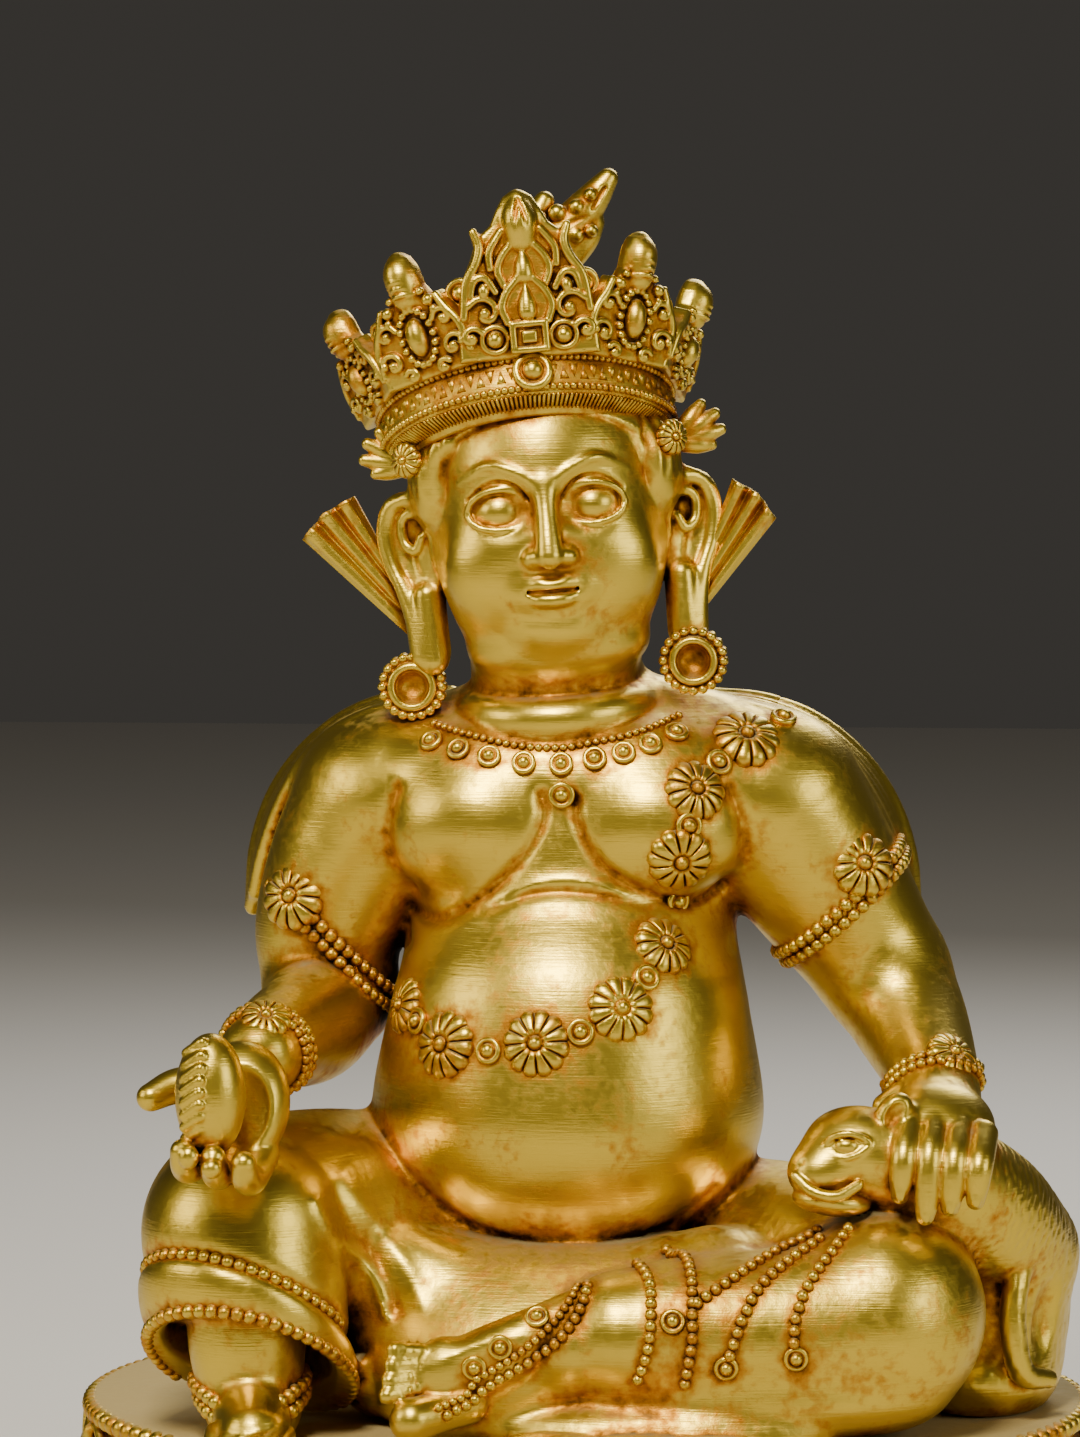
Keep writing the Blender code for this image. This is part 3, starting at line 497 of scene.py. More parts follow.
def applied(obj: Object) -> Object:
    """The object with its modifiers made part of its mesh."""
    graph = bpy.context.evaluated_depsgraph_get()
    mesh = bpy.data.meshes.new_from_object(obj.evaluated_get(graph))
    obj.modifiers.clear()
    obj.data = mesh
    return obj


def smooth(obj: Object) -> Object:
    """The object with smooth shading on every face."""
    obj.data.polygons.foreach_set("use_smooth", [True] * len(obj.data.polygons))
    return obj


def lofted(name: str, rows: Sequence[Rows], frame: Matrix = Matrix.Identity(4),
           endless: bool = False) -> Object:
    """A closed mesh through rows of points.

    Args:
        name: The object's name.
        rows: Rows of points, where a row of one point is a tip.
        frame: Where the rows stand.
        endless: Whether the last row joins the first.

    Returns:
        The object.
    """
    bm = bmesh.new()
    made = [[bm.verts.new(frame @ Vector(p)) for p in row] for row in rows]
    pairs = list(zip(made[:-1], made[1:]))
    if endless:
        pairs.append((made[-1], made[0]))
    for low, high in pairs:
        count = max(len(low), len(high))
        for k in range(count):
            n = (k + 1) % count
            if len(low) == 1:
                bm.faces.new((low[0], high[n], high[k]))
            elif len(high) == 1:
                bm.faces.new((low[k], low[n], high[0]))
            else:
                bm.faces.new((low[k], low[n], high[n], high[k]))
    if not endless:
        for row, flip in ((made[0], True), (made[-1], False)):
            if len(row) > 2:
                bm.faces.new(row[::-1] if flip else row)
    bmesh.ops.recalc_face_normals(bm, faces=bm.faces)
    mesh = bpy.data.meshes.new(name)
    bm.to_mesh(mesh)
    bm.free()
    return put(name, mesh)


def joined(name: str, parts: Sequence[Object]) -> Object:
    """Several objects as one, under a new name."""
    with bpy.context.temp_override(active_object=parts[0], selected_editable_objects=list(parts)):
        bpy.ops.object.join()
    parts[0].name = name
    parts[0].data.name = name
    return parts[0]


def copied(master: Object, frame: Matrix) -> Object:
    """A copy of a master with its place in its mesh."""
    obj = put(master.name, master.data.copy())
    obj.data.transform(frame)
    return obj


# Geometry Nodes trees for what repeats


def wired(tree: Tree, kind: str, settings: dict | None = None, **links: Socket) -> bpy.types.Node:
    """Adds a node with its settings and links.

    Args:
        tree: The node tree.
        kind: The node's type name.
        settings: Properties by name, or input values by index or name.
        links: Sockets by input name, with spaces as underscores.

    Returns:
        The node.
    """
    node = tree.nodes.new(kind)
    for key, value in (settings or {}).items():
        if isinstance(key, str) and hasattr(node, key):
            setattr(node, key, value)
        else:
            node.inputs[key].default_value = value
    for key, socket in links.items():
        number = key.removeprefix("i_")
        target = node.inputs[int(number)] if number.isdigit() else node.inputs[key.replace("_", " ")]
        tree.links.new(socket, target)
    return node


def group(name: str, sizes: dict[str, str]) -> tuple[Tree, bpy.types.Node]:
    """A Geometry Nodes tree with named inputs.

    Args:
        name: The tree's name.
        sizes: The socket type of each named input.

    Returns:
        The tree and its input node.
    """
    tree = bpy.data.node_groups.new(name, "GeometryNodeTree")
    tree.interface.new_socket("Geometry", in_out="INPUT", socket_type="NodeSocketGeometry")
    for label, kind in sizes.items():
        tree.interface.new_socket(label, in_out="INPUT", socket_type=kind)
    tree.interface.new_socket("Geometry", in_out="OUTPUT", socket_type="NodeSocketGeometry")
    return tree, tree.nodes.new("NodeGroupInput")


def closing(tree: Tree, instances: Socket, material: Socket) -> None:
    """Ends a tree in Realize Instances and Set Material."""
    real = wired(tree, "GeometryNodeRealizeInstances", i_0=instances)
    done = wired(tree, "GeometryNodeSetMaterial", i_0=real.outputs[0], Material=material)
    wired(tree, "NodeGroupOutput", i_0=done.outputs[0])


def bead_string_tree() -> Tree:
    """Beads set at an even pitch along a line."""
    kinds = {"Pitch": "NodeSocketFloat", "Bead": "NodeSocketObject", "Size": "NodeSocketFloat"}
    tree, given = group("bead_string", kinds | {"Finish": "NodeSocketMaterial"})
    line = wired(tree, "GeometryNodeMeshToCurve", i_0=given.outputs["Geometry"])
    even = wired(tree, "GeometryNodeResampleCurve", {"mode": "LENGTH"}, Curve=line.outputs[0],
                 Length=given.outputs["Pitch"])
    bead = wired(tree, "GeometryNodeObjectInfo", Object=given.outputs["Bead"])
    placed = wired(tree, "GeometryNodeInstanceOnPoints", Points=even.outputs[0],
                   Instance=bead.outputs["Geometry"], Scale=given.outputs["Size"])
    closing(tree, placed.outputs[0], given.outputs["Finish"])
    return tree


def scatter_tree() -> Tree:
    """A master set on each point, turned and sized as the point's attributes say."""
    kinds = {"Master": "NodeSocketObject", "Finish": "NodeSocketMaterial"}
    tree, given = group("set_on_points", kinds)
    turn = wired(tree, "GeometryNodeInputNamedAttribute", {"data_type": "FLOAT_VECTOR", "Name": "turn"})
    size = wired(tree, "GeometryNodeInputNamedAttribute", {"data_type": "FLOAT_VECTOR", "Name": "size"})
    master = wired(tree, "GeometryNodeObjectInfo", Object=given.outputs["Master"])
    spin = wired(tree, "FunctionNodeEulerToRotation", i_0=turn.outputs[0])
    placed = wired(tree, "GeometryNodeInstanceOnPoints", Points=given.outputs["Geometry"],
                   Instance=master.outputs["Geometry"], Rotation=spin.outputs[0], Scale=size.outputs[0])
    closing(tree, placed.outputs[0], given.outputs["Finish"])
    return tree


def grown(obj: Object, tree: Tree, values: dict) -> Object:
    """Runs a tree on an object and keeps the result as its plain mesh.

    Args:
        obj: The object that holds the line or the points.
        tree: The Geometry Nodes tree.
        values: Its inputs by name.

    Returns:
        The object.
    """
    grow = obj.modifiers.new("grow", "NODES")
    grow.node_group = tree
    for item in tree.interface.items_tree:
        if item.in_out == "INPUT" and item.name in values:
            grow[item.identifier] = values[item.name]
    bpy.context.view_layer.update()
    return smooth(applied(obj))


@dataclass
class Workshop:
    """The trees, masters and finishes that the sub-assemblies share."""

    beads: Tree
    scatter: Tree
    masters: dict[str, Object] = field(default_factory=dict)
    finishes: dict[str, bpy.types.Material] = field(default_factory=dict)
    surface: BVHTree | None = None

    def string(self, name: str, path: Sequence[Vector], pitch: float, radius: float,
               endless: bool = False) -> Object:
        """A string of beads along a path.

        Args:
            name: The object's name.
            path: Points of the path in millimetres.
            pitch: The distance between beads.
            radius: The radius of a bead.
            endless: Whether the string closes.

        Returns:
            The object.
        """
        mesh = bpy.data.meshes.new(name)
        edges = [(k, k + 1) for k in range(len(path) - 1)]
        if endless:
            edges.append((len(path) - 1, 0))
        mesh.from_pydata([tuple(p) for p in path], edges, [])
        values = {"Pitch": pitch, "Size": radius, "Bead": self.masters["bead"],
                  "Finish": self.finishes[RELIEF]}
        return grown(put(name, mesh), self.beads, values)

    def scattered(self, name: str, master: str, frames: Sequence[Matrix], finish: str = RELIEF) -> Object:
        """Copies of a master at the given frames, which may be scaled."""
        mesh = bpy.data.meshes.new(name)
        mesh.from_pydata([tuple(f.translation) for f in frames], [], [])
        turns = np.array([tuple(f.to_euler()) for f in frames], np.float32)
        sizes = np.array([tuple(f.to_scale()) for f in frames], np.float32)
        for label, values in (("turn", turns), ("size", sizes)):
            mesh.attributes.new(label, "FLOAT_VECTOR", "POINT").data.foreach_set("vector", values.ravel())
        values = {"Master": self.masters[master], "Finish": self.finishes[finish]}
        return grown(put(name, mesh), self.scatter, values)

    def finished(self, obj: Object, finish: str, seat: Matrix = SEAT, *stands_for: str) -> None:
        """Args:
            obj: The piece, drawn in millimetres.
            finish: The name of its finish.
            seat: What turns its units into the row's frame.
            stands_for: The solids that it replaces.
        """
        obj.data.transform(seat)
        obj.data.materials.clear()
        obj.data.materials.append(self.finishes[finish])
        smooth(obj)
        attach(obj, "root")
        if stands_for:
            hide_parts(*stands_for)
        LOG.info("%s: %d faces", obj.name, len(obj.data.polygons))

    def hit(self, x: float, z: float, spread: float = 1.6) -> tuple[Vector, Vector]:
        """Where a line from the front meets the figure, and the way the surface faces there."""
        ahead = Vector((0, 1, 0))
        place, outward, _, _ = self.surface.ray_cast(Vector((x, BEFORE, z)), ahead)
        total = outward.copy()
        for dx, dz in ((spread, 0), (-spread, 0), (0, spread), (0, -spread)):
            near, way, _, _ = self.surface.ray_cast(Vector((x + dx, BEFORE, z + dz)), ahead)
            if near is not None and abs(near.y - place.y) < 4:
                total += way
        return place, total.normalized()

    def line(self, rows: Rows, lift: float, per_span: int = 6) -> list[Vector]:
        """A path on the figure's front through (x, z) rows, lifted off it a little."""
        spots = [self.hit(float(x), float(z)) for x, z in smooth_path(rows, per_span)]
        return [place + outward * lift for place, outward in spots]

    def hug(self, rows: Rows, lift: float, per_span: int = 6) -> list[Vector]:
        """A path on the nearest surface to (x, y, z) rows, lifted off it a little."""
        spots = [self.surface.find_nearest(Vector(row)) for row in smooth_path(rows, per_span)]
        return [place + outward * lift for place, outward, _, _ in spots]

    def loop(self, centre: Sequence[float], normal: Sequence[float], most: float, lift: float,
             count: int = 48) -> list[Vector]:
        """A path round a limb, in a plane through the centre."""
        frame = facing(Vector(centre), Vector(normal), (0.05, 1, 0.02))
        reaches, ways = [], []
        for angle in angles(count):
            way = (frame.to_3x3() @ Vector((math.cos(angle), math.sin(angle), 0))).normalized()
            place, _, _, far = self.surface.ray_cast(Vector(centre), way)
            reaches.append(min(far if place is not None else most, most))
            ways.append(way)
        calm = [(reaches[k - 1] + 2 * reaches[k] + reaches[(k + 1) % count]) / 4 for k in range(count)]
        return [Vector(centre) + way * (reach + lift) for way, reach in zip(ways, calm)]


# Finishes


def linear(code: str, alpha: float = 1.0) -> tuple[float, float, float, float]:
    """An sRGB hex colour as linear light."""
    out = []
    for k in (0, 2, 4):
        c = int(code[k : k + 2], 16) / 255
        out.append(c / 12.92 if c <= 0.04045 else ((c + 0.055) / 1.055) ** 2.4)
    return (*out, alpha)


@dataclass(frozen=True)
class FireGilding:
    """Mercury gilding over a cast copper alloy: bright where it was burnished, brown where it was not.

    The gold is greenish and pale on the high places. In hollows the gilding is thin and matt, and an
    orange-brown patina shows; there the colour is also painted darker as shade, down to a near-black
    brown in the deepest crevices and next to worn jewellery. Faces that look up hold a film of dust.
    """

    name: str
    burnish: float = 0.30
    patina: float = 0.0
    dust: float = 0.5
    relief: float = 1.0
    high: str = "D3B540"
    warm: str = "B97C1A"
    brown: str = "6F430F"
    dark_patina_and_painted_shade: str = "2A1505"
    film: str = "A8935C"
    crevice_reach: float = 0.005
    least_rough: float = 0.33
    most_rough: float = 0.85

    def made(self) -> bpy.types.Material:
        """The material with its node tree.

        Returns:
            The material.
        """
        gold = bpy.data.materials.new(self.name)
        gold.use_nodes = True
        tree = gold.node_tree
        shader = tree.nodes["Principled BSDF"]
        place = wired(tree, "ShaderNodeTexCoord").outputs["Object"]
        # Cloudy wear is 14 mm across and 22 mm tall, mottling 2.2 mm and grain 0.4 mm
        drawn = wired(tree, "ShaderNodeMapping", {"Scale": (1 / 0.014, 1 / 0.014, 1 / 0.022)}, Vector=place)
        cloud = wired(tree, "ShaderNodeTexNoise", {"Scale": 1.0, "Detail": 2.5}, Vector=drawn.outputs[0])
        mottle = wired(tree, "ShaderNodeTexNoise", {"Scale": 1 / 0.0022, "Detail": 5.0}, Vector=place)
        grain = wired(tree, "ShaderNodeTexNoise", {"Scale": 1 / 0.0004, "Detail": 2.0}, Vector=place)
        # Scratches from wiping run this way and that, about 9 mm long and a third of a millimetre wide
        scratches = []
        for turn in ((0.2, 0.5, 0.3), (0.3, -0.7, 0.2)):
            fine = {"Rotation": turn, "Scale": (1 / 0.009, 1 / 0.009, 1 / 0.00035)}
            run = wired(tree, "ShaderNodeMapping", fine, Vector=place).outputs[0]
            scratches.append(wired(tree, "ShaderNodeTexNoise", {"Scale": 1.0, "Detail": 1.0}, Vector=run))
        hollow = wired(tree, "ShaderNodeAttribute", {"attribute_name": "hollow"}).outputs["Fac"]
        near = wired(tree, "ShaderNodeAttribute", {"attribute_name": "beside"}).outputs["Fac"]
        shade = wired(tree, "ShaderNodeAmbientOcclusion", {"samples": 6, "Distance": self.crevice_reach})

        def sums(first: Socket, gain: float, rest: float | Socket) -> Socket:
            """Adds a weighted socket to a number or a socket."""
            step = wired(tree, "ShaderNodeMath", {"operation": "MULTIPLY_ADD", 1: gain}, i_0=first)
            if isinstance(rest, (int, float)):
                step.inputs[2].default_value = rest
            else:
                tree.links.new(rest, step.inputs[2])
            return step.outputs[0]

        # Painted shade, with patina: ambient occlusion, the hollow measure and the nearness to worn jewellery
        # push the colour towards the browns and the darkest end, as shade in crevices; the cloud and mottle
        # add wear at random
        patina_wear_and_painted_shade = sums(shade.outputs["AO"], -0.55, sums(hollow, 1.0, self.patina + 0.50))
        patina_wear_and_painted_shade = sums(near, 0.38, patina_wear_and_painted_shade)
        patina_wear_and_painted_shade = sums(mottle.outputs[0], 1.0, sums(cloud.outputs[0], 1.2, sums(patina_wear_and_painted_shade, 1.0, -0.93)))
        tint = wired(tree, "ShaderNodeValToRGB", i_0=patina_wear_and_painted_shade)
        ramp = tint.color_ramp
        # Low values give burnished gold and middle ones the patina browns; the darkest end is painted shade
        # in the deepest crevices
        ramp.elements[0].position, ramp.elements[0].color = 0.16, linear(self.high)
        ramp.elements[1].position, ramp.elements[1].color = 1.15, linear(self.dark_patina_and_painted_shade)
        for spot, code in ((0.52, self.warm), (0.84, self.brown)):
            ramp.elements.new(spot).color = linear(code)
        # Dust lies on what looks up
        aim = wired(tree, "ShaderNodeNewGeometry").outputs["Normal"]
        up = wired(tree, "ShaderNodeSeparateXYZ", i_0=aim).outputs["Z"]
        lie = sums(up, 1.9, sums(cloud.outputs[0], 0.9, sums(mottle.outputs[0], 0.7, -2.45 + self.dust)))
        film = wired(tree, "ShaderNodeMath", {"operation": "MULTIPLY", "use_clamp": True, 1: 1.0},
                     i_0=sums(hollow, 0.8, lie))
        colour = wired(tree, "ShaderNodeMix", {"data_type": "RGBA"}, i_0=film.outputs[0],
                       i_6=tint.outputs[0])
        # A colour mix holds its second colour in input 7
        colour.inputs[7].default_value = linear(self.film)
        metal = sums(film.outputs[0], -0.8, 1.0)
        rough = sums(film.outputs[0], 0.35, sums(mottle.outputs[0], 0.10, self.burnish - 0.12))
        rough = sums(patina_wear_and_painted_shade, 0.30, rough)
        kept = wired(tree, "ShaderNodeClamp", {"Min": self.least_rough, "Max": self.most_rough}, i_0=rough)
        tree.links.new(colour.outputs[2], shader.inputs["Base Color"])
        tree.links.new(metal, shader.inputs["Metallic"])
        tree.links.new(kept.outputs[0], shader.inputs["Roughness"])
        # The cast skin is left grainy where the burnisher did not reach
        skin = sums(mottle.outputs[0], 0.5, sums(grain.outputs[0], 0.5, 0.0))
        coarse = wired(tree, "ShaderNodeMath", {"operation": "MULTIPLY"}, i_0=skin, i_1=sums(patina_wear_and_painted_shade, 1.3, 0.05))
        fine = sums(scratches[0].outputs[0], 0.30, sums(scratches[1].outputs[0], 0.25, coarse.outputs[0]))
        rise = wired(tree, "ShaderNodeBump", {"Strength": 0.6 * self.relief, "Distance": 0.0002}, Height=fine)
        tree.links.new(rise.outputs[0], shader.inputs["Normal"])
        return gold


FINISHES = [
    FireGilding(BURNISHED, 0.38, 0.0, 0.1, 0.9),
    FireGilding(ON_CLOTH, 0.40, 0.06, 0.12, 1.1),
    FireGilding(RELIEF, 0.36, 0.15, 0.3, 1.0),
    FireGilding(MATT, 0.44, 0.16, 0.5, 1.4),
    FireGilding(DUSTY, 0.46, 0.16, 1.1, 1.4),
]


# The figure


@dataclass
class Trunk:
    """The trunk, neck and arms, with the scarf that lies over the back of the shoulders."""

    belly: tuple[float, float, float] = (43, 40, 34)
    chest: tuple[float, float, float] = (19.5, 13.6, 16.5)
    creases: Sequence[tuple] = (
        (((-6.4, 135), (-5.8, 130), (-9.1, 122.9), (-16.3, 115), (-23.7, 109.6), (-31.6, 107), (-39, 110)),
         1.2, 1.5),
        (((0.9, 134), (1.6, 128.5), (6.4, 120.2), (15.8, 114), (25.1, 111.4), (33.2, 116)), 1.2, 1.5),
        (((-38.5, 136), (-41, 127), (-40.5, 113), (-38, 101)), 1.2, 1.4),
        (((34, 136), (37, 127), (37.5, 113), (35, 101)), 1.2, 1.4),
        (((-18, 110.2), (-10, 113.2), (-2, 114.2), (7, 113.4), (17, 110.8)), 0.7, 1.1),
        (((-14, 112.6), (-8, 115.6), (-2, 116.6), (5, 116.0), (12, 113.4)), -0.35, 0.8),
        (((-41, 60), (-36, 53), (-28, 46.6), (-17, 41), (-4, 38.4), (10, 38.8), (22, 43), (31, 50)), 0.7,
         1.3),
        (((-44, 57), (-38, 50), (-29, 43.4), (-17, 37.6), (-4, 35), (10, 35.4), (23, 39.6)), -0.5, 1.2),
    )
    scarf: Sequence[Rows] = (
        ((-30, 4, 153), (-42, -1, 151.5), (-52, -3, 147.8), (-61, 0, 140.5), (-67.5, 5, 130.5),
         (-72, 9, 119.5), (-74.5, 12, 110)),
        ((-31, 16, 154), (-43, 14, 153), (-54, 13.5, 149), (-64, 14.5, 141), (-71, 15.5, 131),
         (-75, 16.5, 119), (-76, 17, 106)),
    )

    def model(self, clay: Clay) -> None:
        """Adds the trunk to the clay."""
        clay.add(ball((-3, 15, 26), (52, 39, 30)))
        clay.add(ball((-3, 8, 85), (34, 24, 60)), 8)
        clay.add(ball((-3, 3, 122), (40, 25, 30)), 8)
        yoke = [(-46, 2, 132, 18), (-24, 3, 142, 15), (-5, 4, 148, 15), (16, 3, 144, 15), (41, 2, 134, 18)]
        clay.add(limb(yoke), 8)
        clay.add(ball((-3, 22, 122), (35, 12, 32)), 8)
        clay.add(ball((-3, -15, 122), (27, 13, 22)), 8)
        clay.add(ball((-2.5, -8, 65), self.belly), 4)
        clay.add(ball((-2, -8, 89), (37, 34, 26)), 14)
        yoke = [(-38, -5, 134, 15), (-21, -12, 137, 13.5), (-2, -13, 138, 12.5), (17, -12, 137, 13.5),
                (34, -5, 134, 15)]
        clay.add(limb(yoke), 6)
        for side, x in ((-1, -22.0), (1, 18.0)):
            clay.add(ball((x, -16.5, 126.5), self.chest, (14, 0, side * 10)), 3.0)
        for rows, depth, width in self.creases:
            clay.press(drawn_line(rows, depth, width, -4.0))
        # The spine's hollow at the back
        clay.cut(limb([(-3, 42, 70, 4), (-3, 40, 105, 5), (-3, 42, 132, 4)]), 6)
        self.model_neck(clay)
        self.model_arms(clay)

    def model_neck(self, clay: Clay) -> None:
        """Adds the neck, with one soft roll where it meets the chest."""
        clay.add(limb([(-4, 2, 142, 22), (-5, 0, 153, 19.6), (-5.6, -2, 161, 18.8), (-6, -3, 171, 19)]), 3)
        clay.add(ring((-5, -2.8, 153.4), 17.4, 4.8, (9, -3, 0)), 1.6)

    def model_arms(self, clay: Clay) -> None:
        """Adds both arms and the scarf behind them."""
        clay.add(limb([(-43, 2, 131, 20.5), (-51, 3, 119, 18.5), (-57, 5, 103, 16.5), (-57, 6, 90, 14.5)]), 3)
        clay.add(limb([(-57, 6, 88, 14.2), (-59, -12, 83, 13), (-62, -32, 82, 11), (-64, -54, 81, 8.6)]), 3)
        clay.add(limb([(42, 2, 131, 20.5), (51, 5, 117, 18.5), (60, 8, 103, 16), (66, 8, 94, 14.2)]), 3)
        clay.add(limb([(66, 8, 94, 14.2), (72, 0, 84, 12.6), (77, -13, 75, 10.4), (79, -24, 69, 9.6)]), 3)
        near, far = (np.array(rows, float) for rows in self.scarf)
        for mirrored in (False, True):
            for share in np.linspace(0, 1, 6):
                path = near * (1 - share) + far * share
                if mirrored:
                    path[:, 0] = -4 - path[:, 0]
                # A rounded hem stands along both edges of the scarf
                radius = 2.0 if share in (0, 1) else 1.4
                clay.add(limb([(*place, radius) for place in path]), 0.8)


@dataclass
class Legs:
    """The lap, both legs in their cloth, and the feet."""

    hem: tuple[float, float, float] = (-66, -76, 28.6)
    slope: tuple[float, float, float] = (-0.145, -0.63, -1)
    knee: tuple[float, float, float] = (-66, -76, 41.0)
    garter: tuple[float, float, float] = (0.288, 0.61, 1)
    drop: float = 12.0
    folds: Sequence[tuple] = (
        (((-50.4, 51), (-45.6, 41), (-40.4, 33), (-37.5, 25)), -0.9, 1.2),
        (((-48.6, 51), (-43.6, 41.5), (-38.2, 33.6), (-35, 26)), 0.8, 1.6),
        (((-46.5, 55), (-40.2, 44), (-33.5, 35.4), (-30, 28)), -0.5, 1.6),
    )

    def model(self, clay: Clay) -> None:
        """Adds the lap and both legs to the clay."""
        clay.add(ball((-3, -24, 13), (50, 33, 20)), 8)
        clay.add(limb([(-36, -34, 30, 14), (-22, -36, 26, 13), (-5, -37, 25, 13), (14, -37, 26, 13),
                       (32, -34, 29, 14)]), 6)
        clay.add(ball((-6, -35, 14), (42, 25, 20)), 6)
        self.model_right(clay)
        self.model_left(clay)
        for rows, depth, width in self.folds:
            clay.press(drawn_line(rows, depth, width, -34.0))
        self.model_pleats(clay)

    def rolls(self) -> Shape:
        """The cloth's swell between the garter and the hem, as depths for Clay.press."""

        def depths(x: Grid, y: Grid, z: Grid) -> Grid:
            """Swells midway, and draws in at the garter."""
            height = self.knee[2] - self.garter[0] * (x - self.knee[0]) - self.garter[1] * (y - self.knee[1])
            below = (height - z) / self.drop
            swell = -1.5 * np.sqrt(np.maximum(np.sin(np.pi * np.clip(below, 0, 1)), 0))
            drawn = 1.1 * np.exp(-(((z - height) / 2.2) ** 2))
            about = np.sqrt((x + 66.5) ** 2 + (y + 53) ** 2)
            return (swell + drawn) * np.clip((about - 12) / 4, 0, 1) * np.clip((-40.0 - x) / 3, 0, 1)

        return np.array([-92.0, -84, 0]), np.array([-38.0, -26, 50]), depths

    def model_right(self, clay: Clay) -> None:
        """Adds the right leg, which comes down to the base's edge."""
        clay.add(limb([(-30, 10, 28, 30), (-52, -15, 36, 28.5), (-66, -38, 41, 24.5),
                       (-68, -50, 42, 21.5)]), 4)
        cloth = limb([(-68, -50, 42, 21.5), (-67, -53, 30, 21.5), (-66.4, -53.5, 14, 21.8),
                      (-66, -53.5, 4, 21.5)])
        clay.add(trimmed(cloth, self.hem, self.slope), 1.2)
        clay.press(self.rolls())
        room = limb([(-66, -56, 30, 15.5), (-66, -60, 16, 18.2), (-66, -64, 4, 19)])
        clay.cut(trimmed(room, self.hem, (0, 0.25, 1)), 1.2)
        clay.add(limb([(-66, -56, 34, 13), (-66, -58, 20, 12.5), (-65, -57, 8, 10.5)]), 1.5)
        clay.add(limb([(-65, -54, 5.5, 9.5), (-64, -66, 5.5, 8.6), (-62, -76, 3.5, 7.0)]), 3)
        for k in range(5):
            reach = (9.5, 8.2, 6.8, 5.4, 3.8)[k]
            x = -55.5 - 3.6 * k
            toe = [(x, -76, 3.6, 2.6), (x - 0.4, -77 - reach, 2.6, 2.5 - 0.2 * k)]
            clay.add(limb(toe), 0.6)
            clay.cut(ball((x - 0.4, -78.6 - reach, 4.6), (1.5, 2.0, 0.9), (-18, 0, 0)), 0.2)

    def model_left(self, clay: Clay) -> None:
        """Adds the left leg, which lies flat with its foot sole up."""
        clay.add(limb([(24, 10, 26, 26), (46, -8, 28, 25), (62, -26, 27, 22.5), (69, -38, 26, 20.5)]), 4)
        clay.add(ball((69, -41, 25), (20.5, 20.5, 23)), 3)
        clay.add(limb([(66, -43, 24, 20.5), (46, -49, 22, 18.5), (28, -53, 22.5, 16.5),
                       (14, -57, 22.5, 14)]), 4)
        clay.add(limb([(14, -57, 22.5, 12.5), (4, -60, 21, 10.5)]), 1.5)
        clay.add(ball((34, -45, 9), (46, 22, 11)), 5)
        sole = limb([(-25, -66.5, 13.5, 6.4), (-14, -66, 18.6, 6.8), (-3, -64.5, 24.2, 5.8),
                     (6, -62, 29.5, 4.2)])
        clay.add(trimmed(sole, (-13, -71.0, 18), (0.05, -1, -0.1)), 1.2)
        clay.add(limb([(-24, -58, 6, 9), (-8, -58, 12, 8.5), (4, -57, 18, 9)]), 3)
        clay.add(ball((-23.5, -67, 16.0), (6.5, 5.4, 7.6), (0, 20, 0)), 2)
        clay.add(limb([(-18, -68, 9.5, 4.6), (-23, -71, 8.0, 4.2), (-28.5, -75.5, 7.0, 4.8)]), 0.8)
        for k in range(4):
            low, high = 14.4 + 1.9 * k, 12.2 + 3.0 * k
            toe = [(-23.0, -66.5, low, 1.7), (-33.8 + 0.4 * k, -75.4 + 1.2 * k, high, 1.9)]
            clay.add(limb(toe), 0.3)
            # Each small toe wears rings
            for share in (0.5, 0.67, 0.84):
                at = np.array(toe[0]) * (1 - share) + np.array(toe[1]) * share
                clay.add(ring(at[:3], 1.9, 0.4, (0, 80, 38)), 0.3)

    def model_pleats(self, clay: Clay) -> None:
        """Adds the cloth under the left shin, and the leaf-like pleats that lie on the seat before it."""
        clay.add(ball((20, -59, 3), (38, 12.0, 7.0)), 3)
        for x, turn, size in ((2, -14, 15), (18, 3, 16), (33, 17, 15)):
            clay.add(ball((x, -73.5, 0.2), (size, 8.5, 3.8), (10, 0, turn)), 0.6)
            clay.press(drawn_pleat(x, -73.5, size, turn))


def drawn_pleat(x: float, y: float, size: float, turn: float) -> Shape:
    """Two veins along a flat pleat that lies on the seat, as depths for Clay.press."""
    spin = turned((0, 0, turn))
    low = np.array([x - size, y - 9, 0.0])
    high = np.array([x + size, y + 9, 6.0])

    def depths(px: Grid, py: Grid, pz: Grid) -> Grid:
        """Grooves that run the pleat's length and meet at its ends."""
        along, across, _ = into(spin, (x, y, 0), px, py, 0 * pz)
        wide = 3.2 * np.sqrt(np.clip(1 - (along / size) ** 2, 0, 1))
        return 0.5 * np.exp(-(((np.abs(across) - wide) / 0.7) ** 2)) * (np.abs(along) < size)

    return low, high, depths


